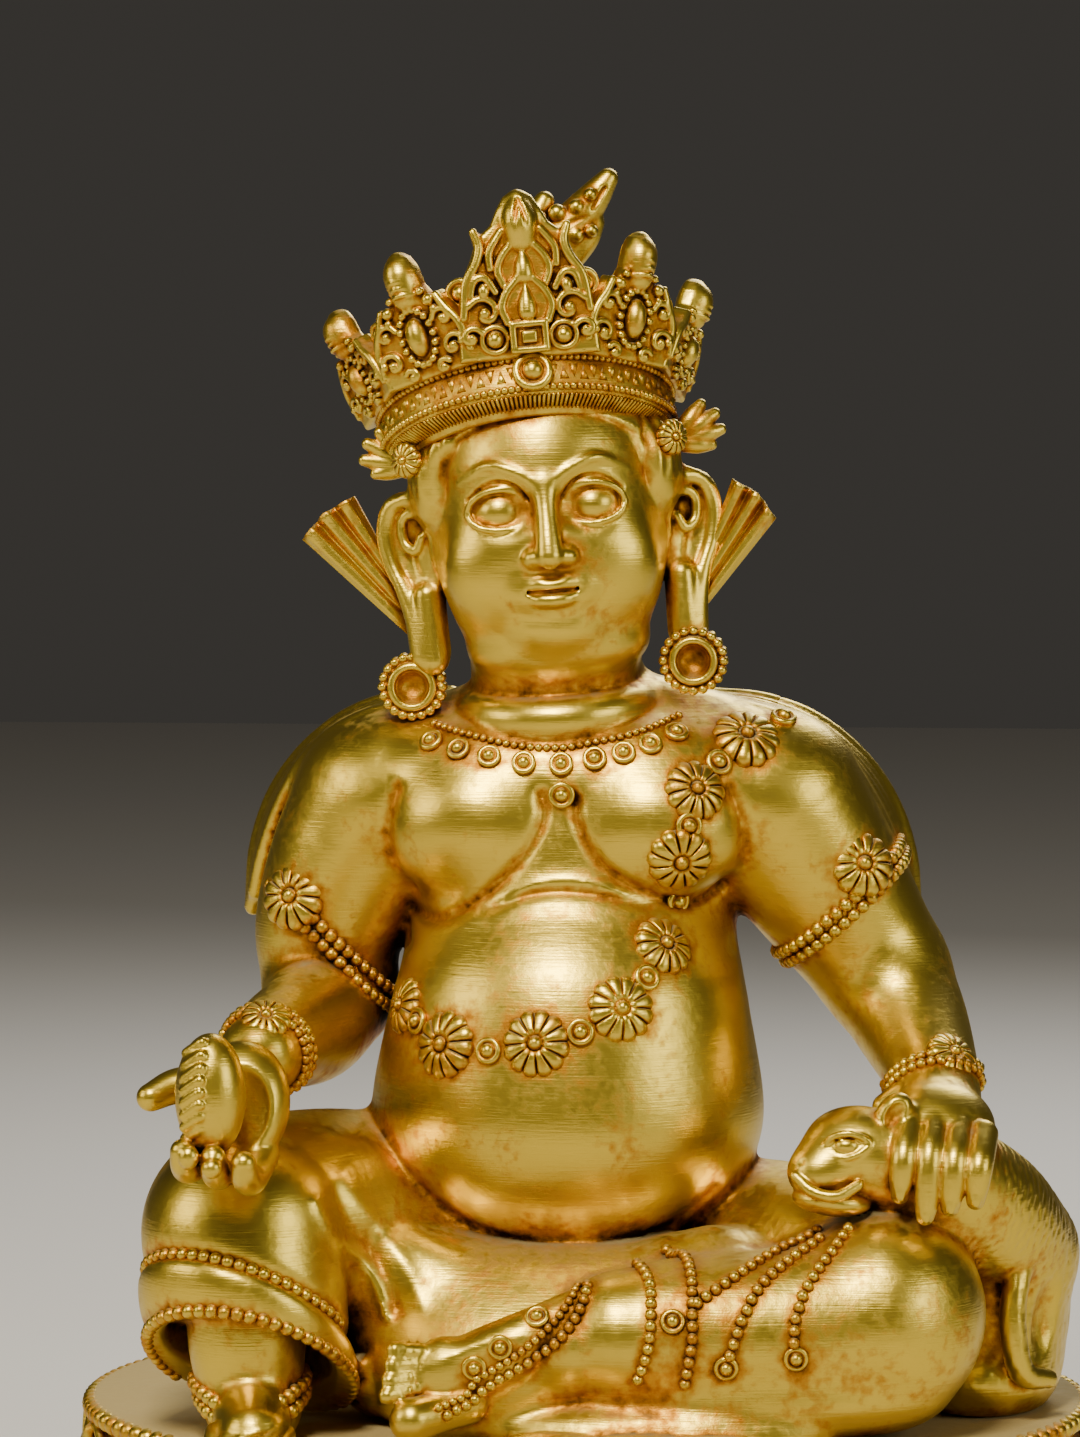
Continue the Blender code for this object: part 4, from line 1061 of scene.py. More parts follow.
@dataclass
class Hands:
    """The right hand with its fruit, the left hand, and the mongoose that it holds."""

    fruit: tuple[float, float, float] = (7.4, 7.2, 13.0)

    def model(self, clay: Clay) -> None:
        """Adds both hands and the mongoose to the clay."""
        self.model_right(clay)
        self.model_mongoose(clay)
        self.model_left(clay)

    def model_right(self, clay: Clay) -> None:
        """Adds the open right hand and the fruit on it."""
        clay.add(ball((-66, -70, 72), (11, 7.5, 14), (-14, 8, 0)), 4)
        clay.cut(ball((-64.5, -78.5, 72.5), (8.0, 5.5, 11), (-8, 8, 0)), 1)
        for k in range(3):
            x = -74.5 + 6.4 * k
            z = 61.5 - 1.2 * k
            finger = [(x + 1, -72, z + 3, 3.8), (x, -80, z - 1, 3.4), (x, -87, z + 0.5, 3.0)]
            clay.add(limb(finger + [(x, -89.5, z + 3.5, 2.6)]), 1)
        clay.add(limb([(-72, -67, 76, 4.4), (-79, -69, 76, 3.8), (-84, -73, 74, 3.0)]), 1.2)
        clay.add(ball((-69.5, -84, 76), self.fruit), 0.6)
        for k in range(9):
            z = 86.5 - 2.5 * k
            back = 0.036 * (z - 76) ** 2
            twist = [(-74.2, -89.4 + back, z - 1.6, 1.2), (-70.6, -91.4 + back, z + 0.9, 1.25)]
            clay.add(limb(twist), 0.25)
        clay.add(ball((-73, -91, 64), (2.2, 2.2, 2.6)), 0.4)
        clay.add(ball((-68, -92, 61.8), 2.2), 0.4)

    def model_mongoose(self, clay: Clay) -> None:
        """Adds the mongoose, which crouches behind the left knee."""
        clay.add(ball((91, 2, 22), (16.5, 25, 26)), 0)
        clay.add(ball((88, -2, 8), (17, 24, 12)), 4)
        clay.add(limb([(94, -4, 34, 15.5), (89, -20, 45, 14.5), (81, -33, 54, 12.5), (74, -38, 58, 11)]), 4)
        clay.add(ball((64, -41, 60), (13, 10, 10), (0, 12, 0)), 4)
        clay.add(ball((55, -45, 56.5), (7, 7, 6.2)), 4)
        clay.add(ball((57.5, -45, 50.5), (8.5, 7, 3.4), (0, 6, 0)), 0.6)
        clay.add(limb([(50, -50.5, 56.2, 1.2), (54, -52.5, 53.2, 1.3), (59, -53, 52.4, 1.3),
                       (63.5, -51, 54.6, 1.2)]), 0.6)
        clay.add(ball((60.8, -49.6, 62.7), (2.6, 1.9, 1.7)), 0.2)
        lid = [(56.0, -48.9, 62.2), (58.0, -50.2, 64.6), (60.8, -50.7, 65.4), (63.6, -50.5, 64.9),
               (65.8, -50.1, 63.2)]
        lid += [(63.6, -50.9, 61.2), (60.6, -50.8, 60.2), (57.8, -50.0, 60.8), (56.0, -48.9, 62.2)]
        clay.add(limb([(*p, 0.75) for p in lid], 4), 0.2)
        clay.add(ball((70.5, -44.5, 69), (3.6, 3.2, 5), (0, 35, 0)), 0.8)
        clay.cut(ball((71, -47.4, 69.2), (1.9, 1.8, 3.2), (0, 35, 0)), 0.4)
        clay.cut(ball((51.0, -50.4, 59.2), (1.0, 0.9, 0.7)), 0.3)
        clay.cut(ball((104, -19, 21), (4.5, 6.5, 10), (0, 8, 0)), 1)
        tail = [(101, -15, 37, 2.0), (97.0, -23, 33, 2.8), (95.5, -26, 22, 3.0), (97.5, -25, 11, 2.9),
                (103, -19, 8.5, 2.2)]
        clay.add(limb(tail), 0.7)
        clay.press((np.array([46.0, -60, 0]), np.array([112.0, 30, 74]), self.coat))

    def coat(self, x: Grid, y: Grid, z: Grid) -> Grid:
        """Short strokes of fur over the mongoose's neck and back, as depths for Clay.press."""
        along = z + 0.45 * x
        across = x - 0.45 * z + 0.6 * y
        comb = np.cos(across * 2.6 + 0.9 * np.sin(along * 0.9))
        stroke = comb * np.cos(along * 0.85 + 1.3 * np.sin(across * 0.7))
        where = np.clip((y + 40) / 5, 0, 1) * np.clip((x - 70) / 5, 0, 1) * np.clip((z - 4) / 4, 0, 1)
        return 0.32 * np.maximum(stroke, 0) * where

    def model_left(self, clay: Clay) -> None:
        """Adds the left hand, which presses the mongoose."""
        clay.add(ball((80.5, -36, 66), (11.5, 11, 7.5), (32, 14, 0)), 3)
        for k in range(4):
            x = 73.6 + 5.3 * k
            tip = (52.5, 48.0, 50.0, 51.5)[k]
            finger = [(x, -42, 67.5 - k, 3.2), (x - 0.5, -49.5, 61.5 - 0.6 * k, 3.0)]
            finger += [(x - 1, -50.6, tip + 4, 2.7), (x - 1.4, -50, tip, 2.0)]
            clay.add(limb(finger), 0.5)
            clay.add(ball((x - 1.3, -52.1, tip + 1.0), (1.3, 0.9, 2.4)), 0.15)
        clay.add(limb([(76, -26, 70, 4.2), (71.5, -27, 70, 3.6), (68, -29, 68.5, 2.8)]), 1)


@dataclass
class Head:
    """The head with its face, ears and hair, in its own leaning frame.

    The face is a calm traditional one: hairline, brow, base of the nose and chin lie in equal thirds.
    """

    eye: tuple[float, float, float] = (10.0, -18.8, 6.3)

    def model(self, clay: Clay) -> None:
        """Adds the head to the clay."""

        def add(shape: Shape, blend: float = 0.0) -> None:
            """Adds in the head's frame."""
            clay.add(shape, blend, HEAD)

        def cut(shape: Shape, blend: float = 0.0) -> None:
            """Cuts in the head's frame."""
            clay.cut(shape, blend, HEAD)

        add(ball((0, 2, 8), (25.5, 27, 31)), 1)
        add(ball((0, -5.4, 14.0), (22.5, 21.4, 24)), 5)
        add(ball((0, -5, -5), (24, 20.5, 20)), 8)
        add(ball((0, -7, -14), (20.5, 16, 12.5)), 6)
        add(ball((0, -5.5, -24), (19.5, 15.0, 8.5)), 3.5)
        add(ball((0, -19, -19.5), (8.5, 5.5, 4.8)), 4)
        for side in (-1, 1):
            add(ball((side * 11.5, -15.5, -6.0), (10.5, 7.5, 9.5)), 6)
            self.model_eye(add, cut, side)
            self.model_ear(add, cut, side)
        self.model_mouth(add, cut)
        # Hair, drawn up into a knot behind the crown
        add(ball((0, 5, 12), (27.0, 27, 30)), 0.6)
        add(trimmed(ball((0, 3, 18), (28.5, 28.5, 22.5)), (0, -27, 30.5), (0, -0.64, -0.77)), 0.6)
        add(limb([(0, 5, 36, 18), (0, 8, 50, 13), (0.5, 9, 59, 9), (1, 9, 65, 6)]), 3)
        for side in (-1, 1):
            add(ball((side * 24, -4, 14), (6, 11, 12)), 2)
            frame = [(17 * side - 2.6, -15.8, 22, 2.2), (20.5 * side - 2.0, -13.2, 19.5, 3.1)]
            frame += [(23.6 * side - 0.8, -11.2, 14.5, 3.7), (25 * side, -9, 8, 3.2)]
            add(limb(frame), 1.0)
        self.comb(clay)

    def comb(self, clay: Clay) -> None:
        """Draws the comb's strokes over the hair at the back and up the knot."""

        def depths(x: Grid, y: Grid, z: Grid) -> Grid:
            """Grooves that run up the hair, 3 mm apart at the back of the head."""
            about = np.arctan2(x, y - 1.0)
            away = np.sqrt(x**2 + (y - 5) ** 2)
            behind = np.clip((y + 4) / 6, 0, 1) * np.clip((z + 14) / 6, 0, 1)
            knot = np.clip((z - 34) / 5, 0, 1)
            temple = np.clip((np.abs(x) - 20.5) / 1.5, 0, 1) * np.clip((z - 9) / 3, 0, 1)
            groove = 0.5 + 0.5 * np.cos(about * 54 + 0.1 * z)
            wide = np.clip(away / 9, 0, 1)
            return (0.42 * groove * np.maximum(np.maximum(behind, temple), knot) * wide).astype(np.float32)

        clay.press((np.array([-34, -34, -20.0]), np.array([34, 40, 74.0]), depths), HEAD)

    def model_mouth(self, add: Callable, cut: Callable) -> None:
        """Adds the nose, and the lips below it."""
        add(limb([(0, -25.6, 11.6, 2.2), (0, -27.2, 5.5, 2.2), (0, -28.8, -0.8, 2.7),
                  (0, -29.3, -3.8, 3.0)]), 2.0)
        for side in (-1, 1):
            add(ball((side * 3.5, -26.5, -4.2), (2.6, 3.2, 2.3)), 1.4)
            cut(ball((side * 2.2, -29.2, -6.8), (1.2, 1.6, 0.9)), 0.4)
        cut(limb([(0, -27.4, -7.4, 0.7), (0, -27.6, -9.0, 0.8)]), 0.6)
        add(ball((0, -23.8, -11.2), (8.4, 2.8, 4.6)), 3)
        parting = [(7.6, -24.5, -10.8, 0.3), (4.2, -26.4, -11.6, 0.55), (1.4, -27.1, -11.6, 0.6)]
        upper = [(7.4, -23.9, -10.3, 0.7), (3.4, -26.2, -9.8, 1.3), (1.2, -26.8, -10.1, 1.3)]
        lower = [(6.2, -24.1, -12.3, 0.8), (3.0, -26.1, -13.2, 1.5), (1.0, -26.6, -13.4, 1.6)]
        for half, change, blend in ((upper, add, 0.8), (lower, add, 0.8), (parting, cut, 0.4)):
            change(limb(half + flipped(half[::-1], -1)), blend)

    def model_eye(self, add: Callable, cut: Callable, side: int) -> None:
        """Adds one eye with its lids and brow."""
        cut(ball((side * 10, -27.2, 6.5), (8, 4.5, 5.5)), 3)
        add(ball((side * self.eye[0], *self.eye[1:]), (5.8, 5.8, 5.0)), 0.5)
        for first, last, height in ((180, 0, 4.8), (180, 360, 4.0)):
            rows = []
            for angle in np.radians(np.linspace(first, last, 9)):
                across = side * (10 + 7.0 * math.cos(angle))
                up = 6.3 + height * math.sin(angle)
                rows.append((across, -21.8 - 2.4 * abs(math.sin(angle)), up, 0.75))
            add(limb(rows, 3), 0.5)
        fold = [(3.6, -24.4, 8.4, 0.5), (7, -25.0, 12.0, 0.5), (12, -23.8, 12.4, 0.5),
                (16.4, -20.6, 9.4, 0.4)]
        cut(limb(flipped(fold, side)), 0.6)
        brow = [(1.8, -26.6, 11.9, 0.8), (6.5, -26.0, 14.8, 1.0), (12, -23.9, 16.2, 1.0),
                (18, -18.4, 13.2, 0.6)]
        add(limb(flipped(brow, side)), 1.0)

    def model_ear(self, add: Callable, cut: Callable, side: int) -> None:
        """Adds one long ear, turned to the front, whose lobe reaches down to the earring."""
        out = math.radians(62)
        normal = Vector((side * math.cos(out), -math.sin(out), 0))
        back = Vector((side * math.sin(out), math.cos(out), 0))
        root = Vector((side * 26.5, -2.5, 1))

        def at(u: float, v: float, w: float) -> Vector:
            """A place on the ear's own sheet."""
            lean = Vector((side * 0.05 * abs(min(v, 0)), 0, v))
            return root + back * u + normal * w + lean

        sheet = [(2.4, 2.5, 6.6), (3.0, -3, 6.0), (2.0, -10, 4.6), (1.0, -17, 3.8), (0.4, -24, 3.8)]
        flesh = limb([(*at(u, v, -1.0), r) for u, v, r in sheet])
        add(trimmed(trimmed(flesh, at(0, 0, 0.9), normal), at(0, 0, -3.2), -normal), 0.8)
        rows = [(-3.4, -5, 1.6), (-4.0, 0, 1.6), (-2.6, 6.0, 1.7), (2.4, 9.4, 1.9), (8.0, 7.8, 2.1)]
        rows += [(10.2, 2.0, 2.1), (8.8, -5, 2.0), (5.8, -11, 2.1), (3.6, -17, 2.3), (2.2, -25, 2.6)]
        add(limb([(*at(u, v, 0.9), r) for u, v, r in rows], 3), 0.8)
        add(limb([(*at(0.8, -12, 0.2), 3.0), (*at(0.4, -18, 0.0), 3.4), (*at(0.2, -26, -0.2), 3.6)]), 1.2)
        cut(limb([(*at(2.4, 3.6, 2.8), 3.2), (*at(4.6, -2.0, 2.6), 2.6), (*at(2.6, -7.5, 2.4), 2.0)]), 0.8)
        curl = [(-2.4, -3, 1.3), (-1.6, 3.4, 1.3), (1.8, 6.4, 1.3), (5.6, 4.6, 1.3), (5.4, -0.2, 1.3),
                (2.6, -2.0, 1.2), (1.0, 0.8, 1.1)]
        add(limb([(*at(u, v, 1.2), r) for u, v, r in curl]), 0.5)


@dataclass
class Figure:
    """The cast body, meshed in regions of its own fineness that meet under one surface."""

    trunk: Trunk = field(default_factory=Trunk)
    legs: Legs = field(default_factory=Legs)
    hands: Hands = field(default_factory=Hands)
    head: Head = field(default_factory=Head)
    neck: float = 152.0
    waist: float = 46.0
    right_hand: tuple = ((-97, -110, 50), (-50, -58, 96))
    left_hand: tuple = ((44, -70, 38), (112, -14, 84))

    def inside(self, box: tuple) -> Callable[..., Grid]:
        """The distance to a box, negative inside."""

        def distance(x: Grid, y: Grid, z: Grid) -> Grid:
            """How far each place lies outside the surface."""
            spans = [np.maximum(low - c, c - high) for c, low, high in zip((x, y, z), *box)]
            return np.maximum(np.maximum(spans[0], spans[1]), spans[2])

        return distance

    def regions(self) -> list[tuple]:
        """Each region as its name, window, step, domain and finish."""
        right, left = self.inside(self.right_hand), self.inside(self.left_hand)
        fine, broad = quick_step(0.5), quick_step(0.85)

        def hands_off(x: Grid, y: Grid, z: Grid) -> Grid:
            """Negative outside both hands' boxes."""
            return np.maximum(-right(x, y, z), -left(x, y, z))

        def trunk(x: Grid, y: Grid, z: Grid) -> Grid:
            """Negative between the waist and the neck, off the hands."""
            return np.maximum(np.maximum(z - self.neck, self.waist - z), hands_off(x, y, z))

        def legs(x: Grid, y: Grid, z: Grid) -> Grid:
            """Negative below the waist, off the hands."""
            return np.maximum(z - self.waist, hands_off(x, y, z))

        def top(x: Grid, y: Grid, z: Grid) -> Grid:
            """Negative above the neck."""
            return self.neck - z + 0 * (x + y)

        boxes = (self.right_hand, self.left_hand)
        hands = [[tuple(a - 8 for a in low), tuple(a + 8 for a in high)] for low, high in boxes]
        return [
            ("figure_head", ((-52, -50, 144), (42, 42, 266)), fine, top, BURNISHED),
            ("figure_trunk", ((-100, -100, 38), (106, 52, 160)), broad, trunk, BURNISHED),
            ("figure_legs", ((-108, -104, -6), (118, 66, 54)), broad, legs, ON_CLOTH),
            ("right_hand_and_fruit", hands[0], fine, right, BURNISHED),
            ("left_hand_and_mongoose", hands[1], fine, left, BURNISHED),
        ]

    def build(self, shop: Workshop) -> list[Finished]:
        """Models and meshes every region, and keeps the whole surface for what is worn on it.

        Args:
            shop: The workshop.

        Returns:
            The regions with the names of their finishes, still in millimetres.
        """
        made = []
        points, faces = [], []
        for name, (low, high), step, domain, finish in self.regions():
            clay = Clay(low, high, step)
            for part in (self.trunk, self.legs, self.hands, self.head):
                part.model(clay)
            floor = (clay.low[2] + clay.step * np.arange(clay.far.shape[2])).astype(np.float32)
            clay.far = np.maximum(clay.far, -floor[None, None, :])
            # The hollow measure at two widths, which the gilding paints as shade and patina in crevices
            hollow = clay.crevice(2.4, 2.2) + clay.crevice(9.0, 1.1)
            clay.kept_in(domain)
            obj = clay.mesh(name, hollow)
            obj.data.calc_loop_triangles()
            start = sum(len(p) for p in points)
            points.append(np.array([v.co[:] for v in obj.data.vertices]))
            faces += [tuple(i + start for i in t.vertices) for t in obj.data.loop_triangles]
            made.append((obj, finish))
            LOG.info("%s modelled: %d points", name, len(obj.data.vertices))
        shop.surface = BVHTree.FromPolygons(np.concatenate(points).tolist(), faces)
        return made


def quick_step(fine: float) -> float:
    return fine


def beside(obj: Object, others: Sequence[Object], reach: float = 3.4) -> None:
    """Marks how near each point of a region is to what is worn on it, as its attribute "beside"."""
    # The gilding paints these places darker and browner: painted shade next to the jewellery, with patina
    spots = np.concatenate([np.array([v.co[:] for v in o.data.vertices][::3]) for o in others])
    tree = KDTree(len(spots))
    for k, spot in enumerate(spots):
        tree.insert(spot, k)
    tree.balance()
    values = [max(0.0, 1.0 - tree.find(v.co)[2] / reach) ** 1.5 for v in obj.data.vertices]
    obj.data.attributes.new("beside", "FLOAT", "POINT").data.foreach_set("value", values)


# What the figure wears


def make_masters(shop: Workshop) -> None:
    """Models the small things that repeat: beads, the ringed bead, the flower and the scroll."""
    bm = bmesh.new()
    bmesh.ops.create_icosphere(bm, subdivisions=2, radius=1.0)
    mesh = bpy.data.meshes.new("bead")
    bm.to_mesh(mesh)
    bm.free()
    shop.masters["bead"] = smooth(put("bead", mesh))
    shop.masters["flower"] = flower()
    shop.masters["ringed_bead"] = ringed_bead()
    shop.masters["scroll"] = scroll()


def flower(petals: int = 12) -> Object:
    """A domed flower of flat petals about a boss, 15 mm across, with Z outward."""
    profile = ((0.6, 2.95), (1.1, 2.6), (1.45, 2.0), (1.7, 1.55), (2.0, 1.7), (2.5, 2.0), (3.2, 1.95),
               (4.0, 1.8),
               (4.8, 1.55), (5.7, 1.3), (6.5, 0.9), (7.1, 0.4), (7.45, -0.3), (7.6, -1.1), (7.4, -2.4))
    rows, hollow = [[(0, 0, 3.05)]], [0.0]
    for reach, height in profile:
        row = []
        for k in range(16 * petals):
            angle = math.pi * k / (8 * petals)
            # A straight cut parts each petal from the next, and the edge is scalloped
            off = (angle + math.pi / petals) % (2 * math.pi / petals) - math.pi / petals
            wide = 0.18 + 0.04 * reach
            groove = max(0.0, 1 - abs(reach * math.sin(off)) / wide) * min(1.0, max(0.0, (reach - 2.2) / 1.4))
            swell = 0.12 * (1 - math.cos(petals * angle)) / 2 * min(1.0, reach / 5)
            scallop = 1 - 0.06 * (0.5 + 0.5 * math.cos(petals * angle)) ** 1.5 * (reach / 7.5) ** 3
            far = reach * scallop
            row.append((far * math.cos(angle), far * math.sin(angle), height + swell - 0.8 * groove))
            # The grooves between petals and the ring round the boss get hollow values, which the gilding
            # paints as shade and patina
            hollow.append(0.75 * groove - 0.12 + 0.7 * math.exp(-(((reach - 1.75) / 0.3) ** 2)))
        rows.append(row)
    made = smooth(lofted("flower", rows))
    made.data.attributes.new("hollow", "FLOAT", "POINT").data.foreach_set("value", hollow)
    return made


def ringed_bead() -> Object:
    """A bead in a raised ring, 6 mm across, with Z outward."""
    clay = Clay((-3.8, -3.8, -1.6), (3.8, 3.8, 2.6), quick_step(0.16))
    clay.add(ball((0, 0, -0.3), (2.9, 2.9, 1.0)))
    clay.add(ring((0, 0, 0.2), 2.35, 0.6), 0.15)
    clay.add(ball((0, 0, 0.5), (1.5, 1.5, 1.4)), 0.1)
    return clay.mesh("ringed_bead", clay.crevice(0.9, 2.0), 1800)


def scroll() -> Object:
    """A line that rolls up about a bead, 7 mm tall, with Z outward."""
    clay = Clay((-4.6, -4.6, -1.6), (4.6, 4.6, 2.4), quick_step(0.2))
    rows = []
    for k in range(12):
        angle = -1.2 + 0.55 * k
        reach = 3.5 - 0.21 * k
        rows.append((reach * math.cos(angle), reach * math.sin(angle), 0.1 + 0.04 * k, 0.72))
    clay.add(limb(rows, 3))
    clay.add(ball((0, 0, -0.3), (2.6, 2.6, 0.9)), 0.3)
    clay.add(ball((-0.2, -0.1, 0.6), (1.05, 1.05, 1.2)), 0.1)
    return clay.mesh("scroll", clay.crevice(0.9, 2.0), 2400)


@dataclass
class Garland:
    """The garland of flowers that hangs from the left shoulder across the belly, and the necklace."""

    flowers: Rows = (
        (37.0, 146.8, 1.02), (26.9, 136.1, 0.92), (23.8, 121.1, 0.96), (20.4, 102.8, 0.92),
        (12.2, 90.3, 0.98), (-5.6, 83.1, 0.98), (-26.0, 81.8, 1.02), (-36.4, 88.6, 0.85),
    )
    links: Rows = (
        (44.5, 150.5), (31.4, 141.6), (25.6, 128.6), (22.4, 111.6),
        (17.2, 96.4), (3.8, 85.6), (-15.9, 81.2), (-32.6, 86.0),
    )
    necklace: Rows = (
        (-31.1, 145.7), (-24.8, 144.2), (-17.9, 142.8), (-10.3, 141.6), (-2.2, 141.4),
        (5.0, 142.6), (11.2, 143.8), (16.8, 145.6), (22.1, 147.8),
    )
    pendant: tuple[float, float] = (-2.0, 134.9)

    def build(self, shop: Workshop) -> list[Object]:
        """Sets the flowers, their links, and the necklace on the body."""
        frames = []
        for k, (x, z, share) in enumerate(self.flowers):
            frame = facing(*shop.hit(x, z, 3.0)) @ rotated(7 * k, "Z")
            frames.append(frame @ Matrix.Scale(share, 4))
        made = [shop.scattered("garland_flowers", "flower", frames)]
        frames = [facing(*shop.hit(x, z)) @ moved(0, 0, 0.3) for x, z in self.links]
        made.append(shop.scattered("garland_links", "ringed_bead", frames))
        frames = [facing(*shop.hit(x, z)) @ moved(0, 0, 0.5) @ Matrix.Scale(0.9, 4) for x, z in self.necklace]
        frames.append(facing(*shop.hit(*self.pendant)) @ moved(0, 0, 0.4) @ Matrix.Scale(0.98, 4))
        made.append(shop.scattered("necklace_rounds", "ringed_bead", frames))
        string = shop.line([(x, z + 3.4) for x, z in self.necklace], 0.3)
        made.append(shop.string("necklace_string", string, 1.75, 0.9))
        return made


@dataclass
class Bands:
    """The strings of beads round the limbs and over the thigh, and the flowers on the arms."""

    bead: float = 1.3
    hoops: Sequence[tuple] = (
        ("right_armlet", (-55.5, 4, 100.5), (-0.72, -0.05, -0.69), 19.5, (-1.4, 1.4), 1.55),
        ("left_armlet", (55.5, 6, 108.0), (0.66, 0.10, -0.74), 20.5, (-1.4, 1.4), 1.55),
        ("right_bracelet", (-63.2, -47, 81.5), (-0.18, -0.94, -0.30), 12.5, (-2.4, 0.0, 2.4), 1.2),
        ("left_bracelet", (77.6, -17, 72.6), (0.18, -0.62, -0.76), 14.0, (-2.4, 0.0, 2.4), 1.2),
        ("knee_band", (-66.5, -53.5, 27.4), (0.288, 0.61, 1.0), 27.5, (0.0,), 1.5),
        ("right_anklet", (-65.2, -57, 10.6), (0, -0.25, 1.0), 14.0, (-1.6, 1.6), 1.7),
    )
    shin: Sequence[float] = (-66, -53.5)
    cuff: float = 21.9
    hem: Sequence[float] = (-66, -76, 28.9)
    slope: Sequence[float] = (0.145, 0.63, 1)
    strands: Sequence[Rows] = (
        ((17, -56, 38), (20.3, -63, 34), (21, -69, 28), (20.5, -70, 22), (18.4, -70, 15)),
        ((22, -44, 40), (26.5, -53, 40), (29, -63, 37), (29.8, -70, 30), (29.8, -71, 23), (28.2, -70, 14)),
        ((54, -44, 44.5), (47, -52, 41), (41, -59, 38), (35.5, -65, 35.6), (30.6, -68, 32)),
        ((55, -50, 43.5), (49, -58, 41), (44, -65, 37), (41, -70, 31), (39.1, -71, 25), (37.8, -71, 20.5)),
        ((61, -50, 46), (57, -58, 42), (53.5, -66, 37), (52, -70, 31), (51.4, -70, 26), (51.3, -70, 23.5)),
    )
    foot: Rows = ((7.2, -62, 32.6), (6.4, -66, 30), (2.5, -70, 24.5), (-5, -71, 18), (-13, -75, 12.6),
                  (-19.5, -77, 8.6))
    rounds: Rows = ((36.8, 18.0), (51.3, 20.0), (25.6, 27.8), (-2.9, 28.3), (-10.4, 22.1), (-15.9, 17.6))
    flowers: Sequence[tuple] = (
        ((-57, 3, 107), (-0.38, -0.92, 0.25), 1.0),
        ((55, 5, 114), (0.42, -0.88, 0.30), 0.98),
        ((-63.2, -50, 82), (0.12, -0.62, 0.78), 0.72),
        ((78, -19, 73.4), (0.50, -0.52, 0.70), 0.76),
    )

    def hem_path(self, count: int = 60) -> list[Vector]:
        """The lower edge of the cloth round the right shin, where it is in sight."""
        path = []
        for k in range(count):
            angle = math.radians(-214 + 248 * k / (count - 1))
            x, y = self.shin[0] + self.cuff * math.cos(angle), self.shin[1] + self.cuff * math.sin(angle)
            z = self.hem[2] - self.slope[0] * (x - self.hem[0]) - self.slope[1] * (y - self.hem[1])
            path.append(Vector((x, y, z + 0.4)))
        return path

    def build(self, shop: Workshop) -> list[Object]:
        """Strings every band and sets the flowers."""
        made = []
        for name, centre, normal, most, rows, radius in self.hoops:
            lines = []
            for k, shift in enumerate(rows):
                at = Vector(centre) + Vector(normal).normalized() * shift
                path = shop.loop(at, normal, most, 0.3)
                lines.append(shop.string(f"{name}_{k}", path, 1.78 * radius, radius, True))
            made.append(joined(name, lines))
        made.append(shop.string("hem_band", self.hem_path(), 2.75, 1.6))
        lines = []
        for k, rows in enumerate(self.strands):
            path = shop.hug(rows, 0.45)
            lines.append(shop.string(f"strand_{k}", path, 2.45, self.bead))
        for k, (shift, radius) in enumerate(((0.0, 1.25), (-2.4, 1.0))):
            path = shop.hug([(x + shift, y, z - 0.9 * shift) for x, y, z in self.foot], 0.3)
            lines.append(shop.string(f"sole_{k}", path, 1.8 * radius, radius))
        made.append(joined("thigh_strands", lines))
        frames = [facing(*shop.hit(x, z)) @ Matrix.Scale(0.9, 4) for x, z in self.rounds]
        made.append(shop.scattered("strand_ends", "ringed_bead", frames))
        frames = []
        for centre, way, share in self.flowers:
            place, _, _, _ = shop.surface.ray_cast(Vector(centre), Vector(way))
            frames.append(facing(place, way) @ Matrix.Scale(share, 4))
        made.append(shop.scattered("arm_flowers", "flower", frames))
        return made


# The lotus base


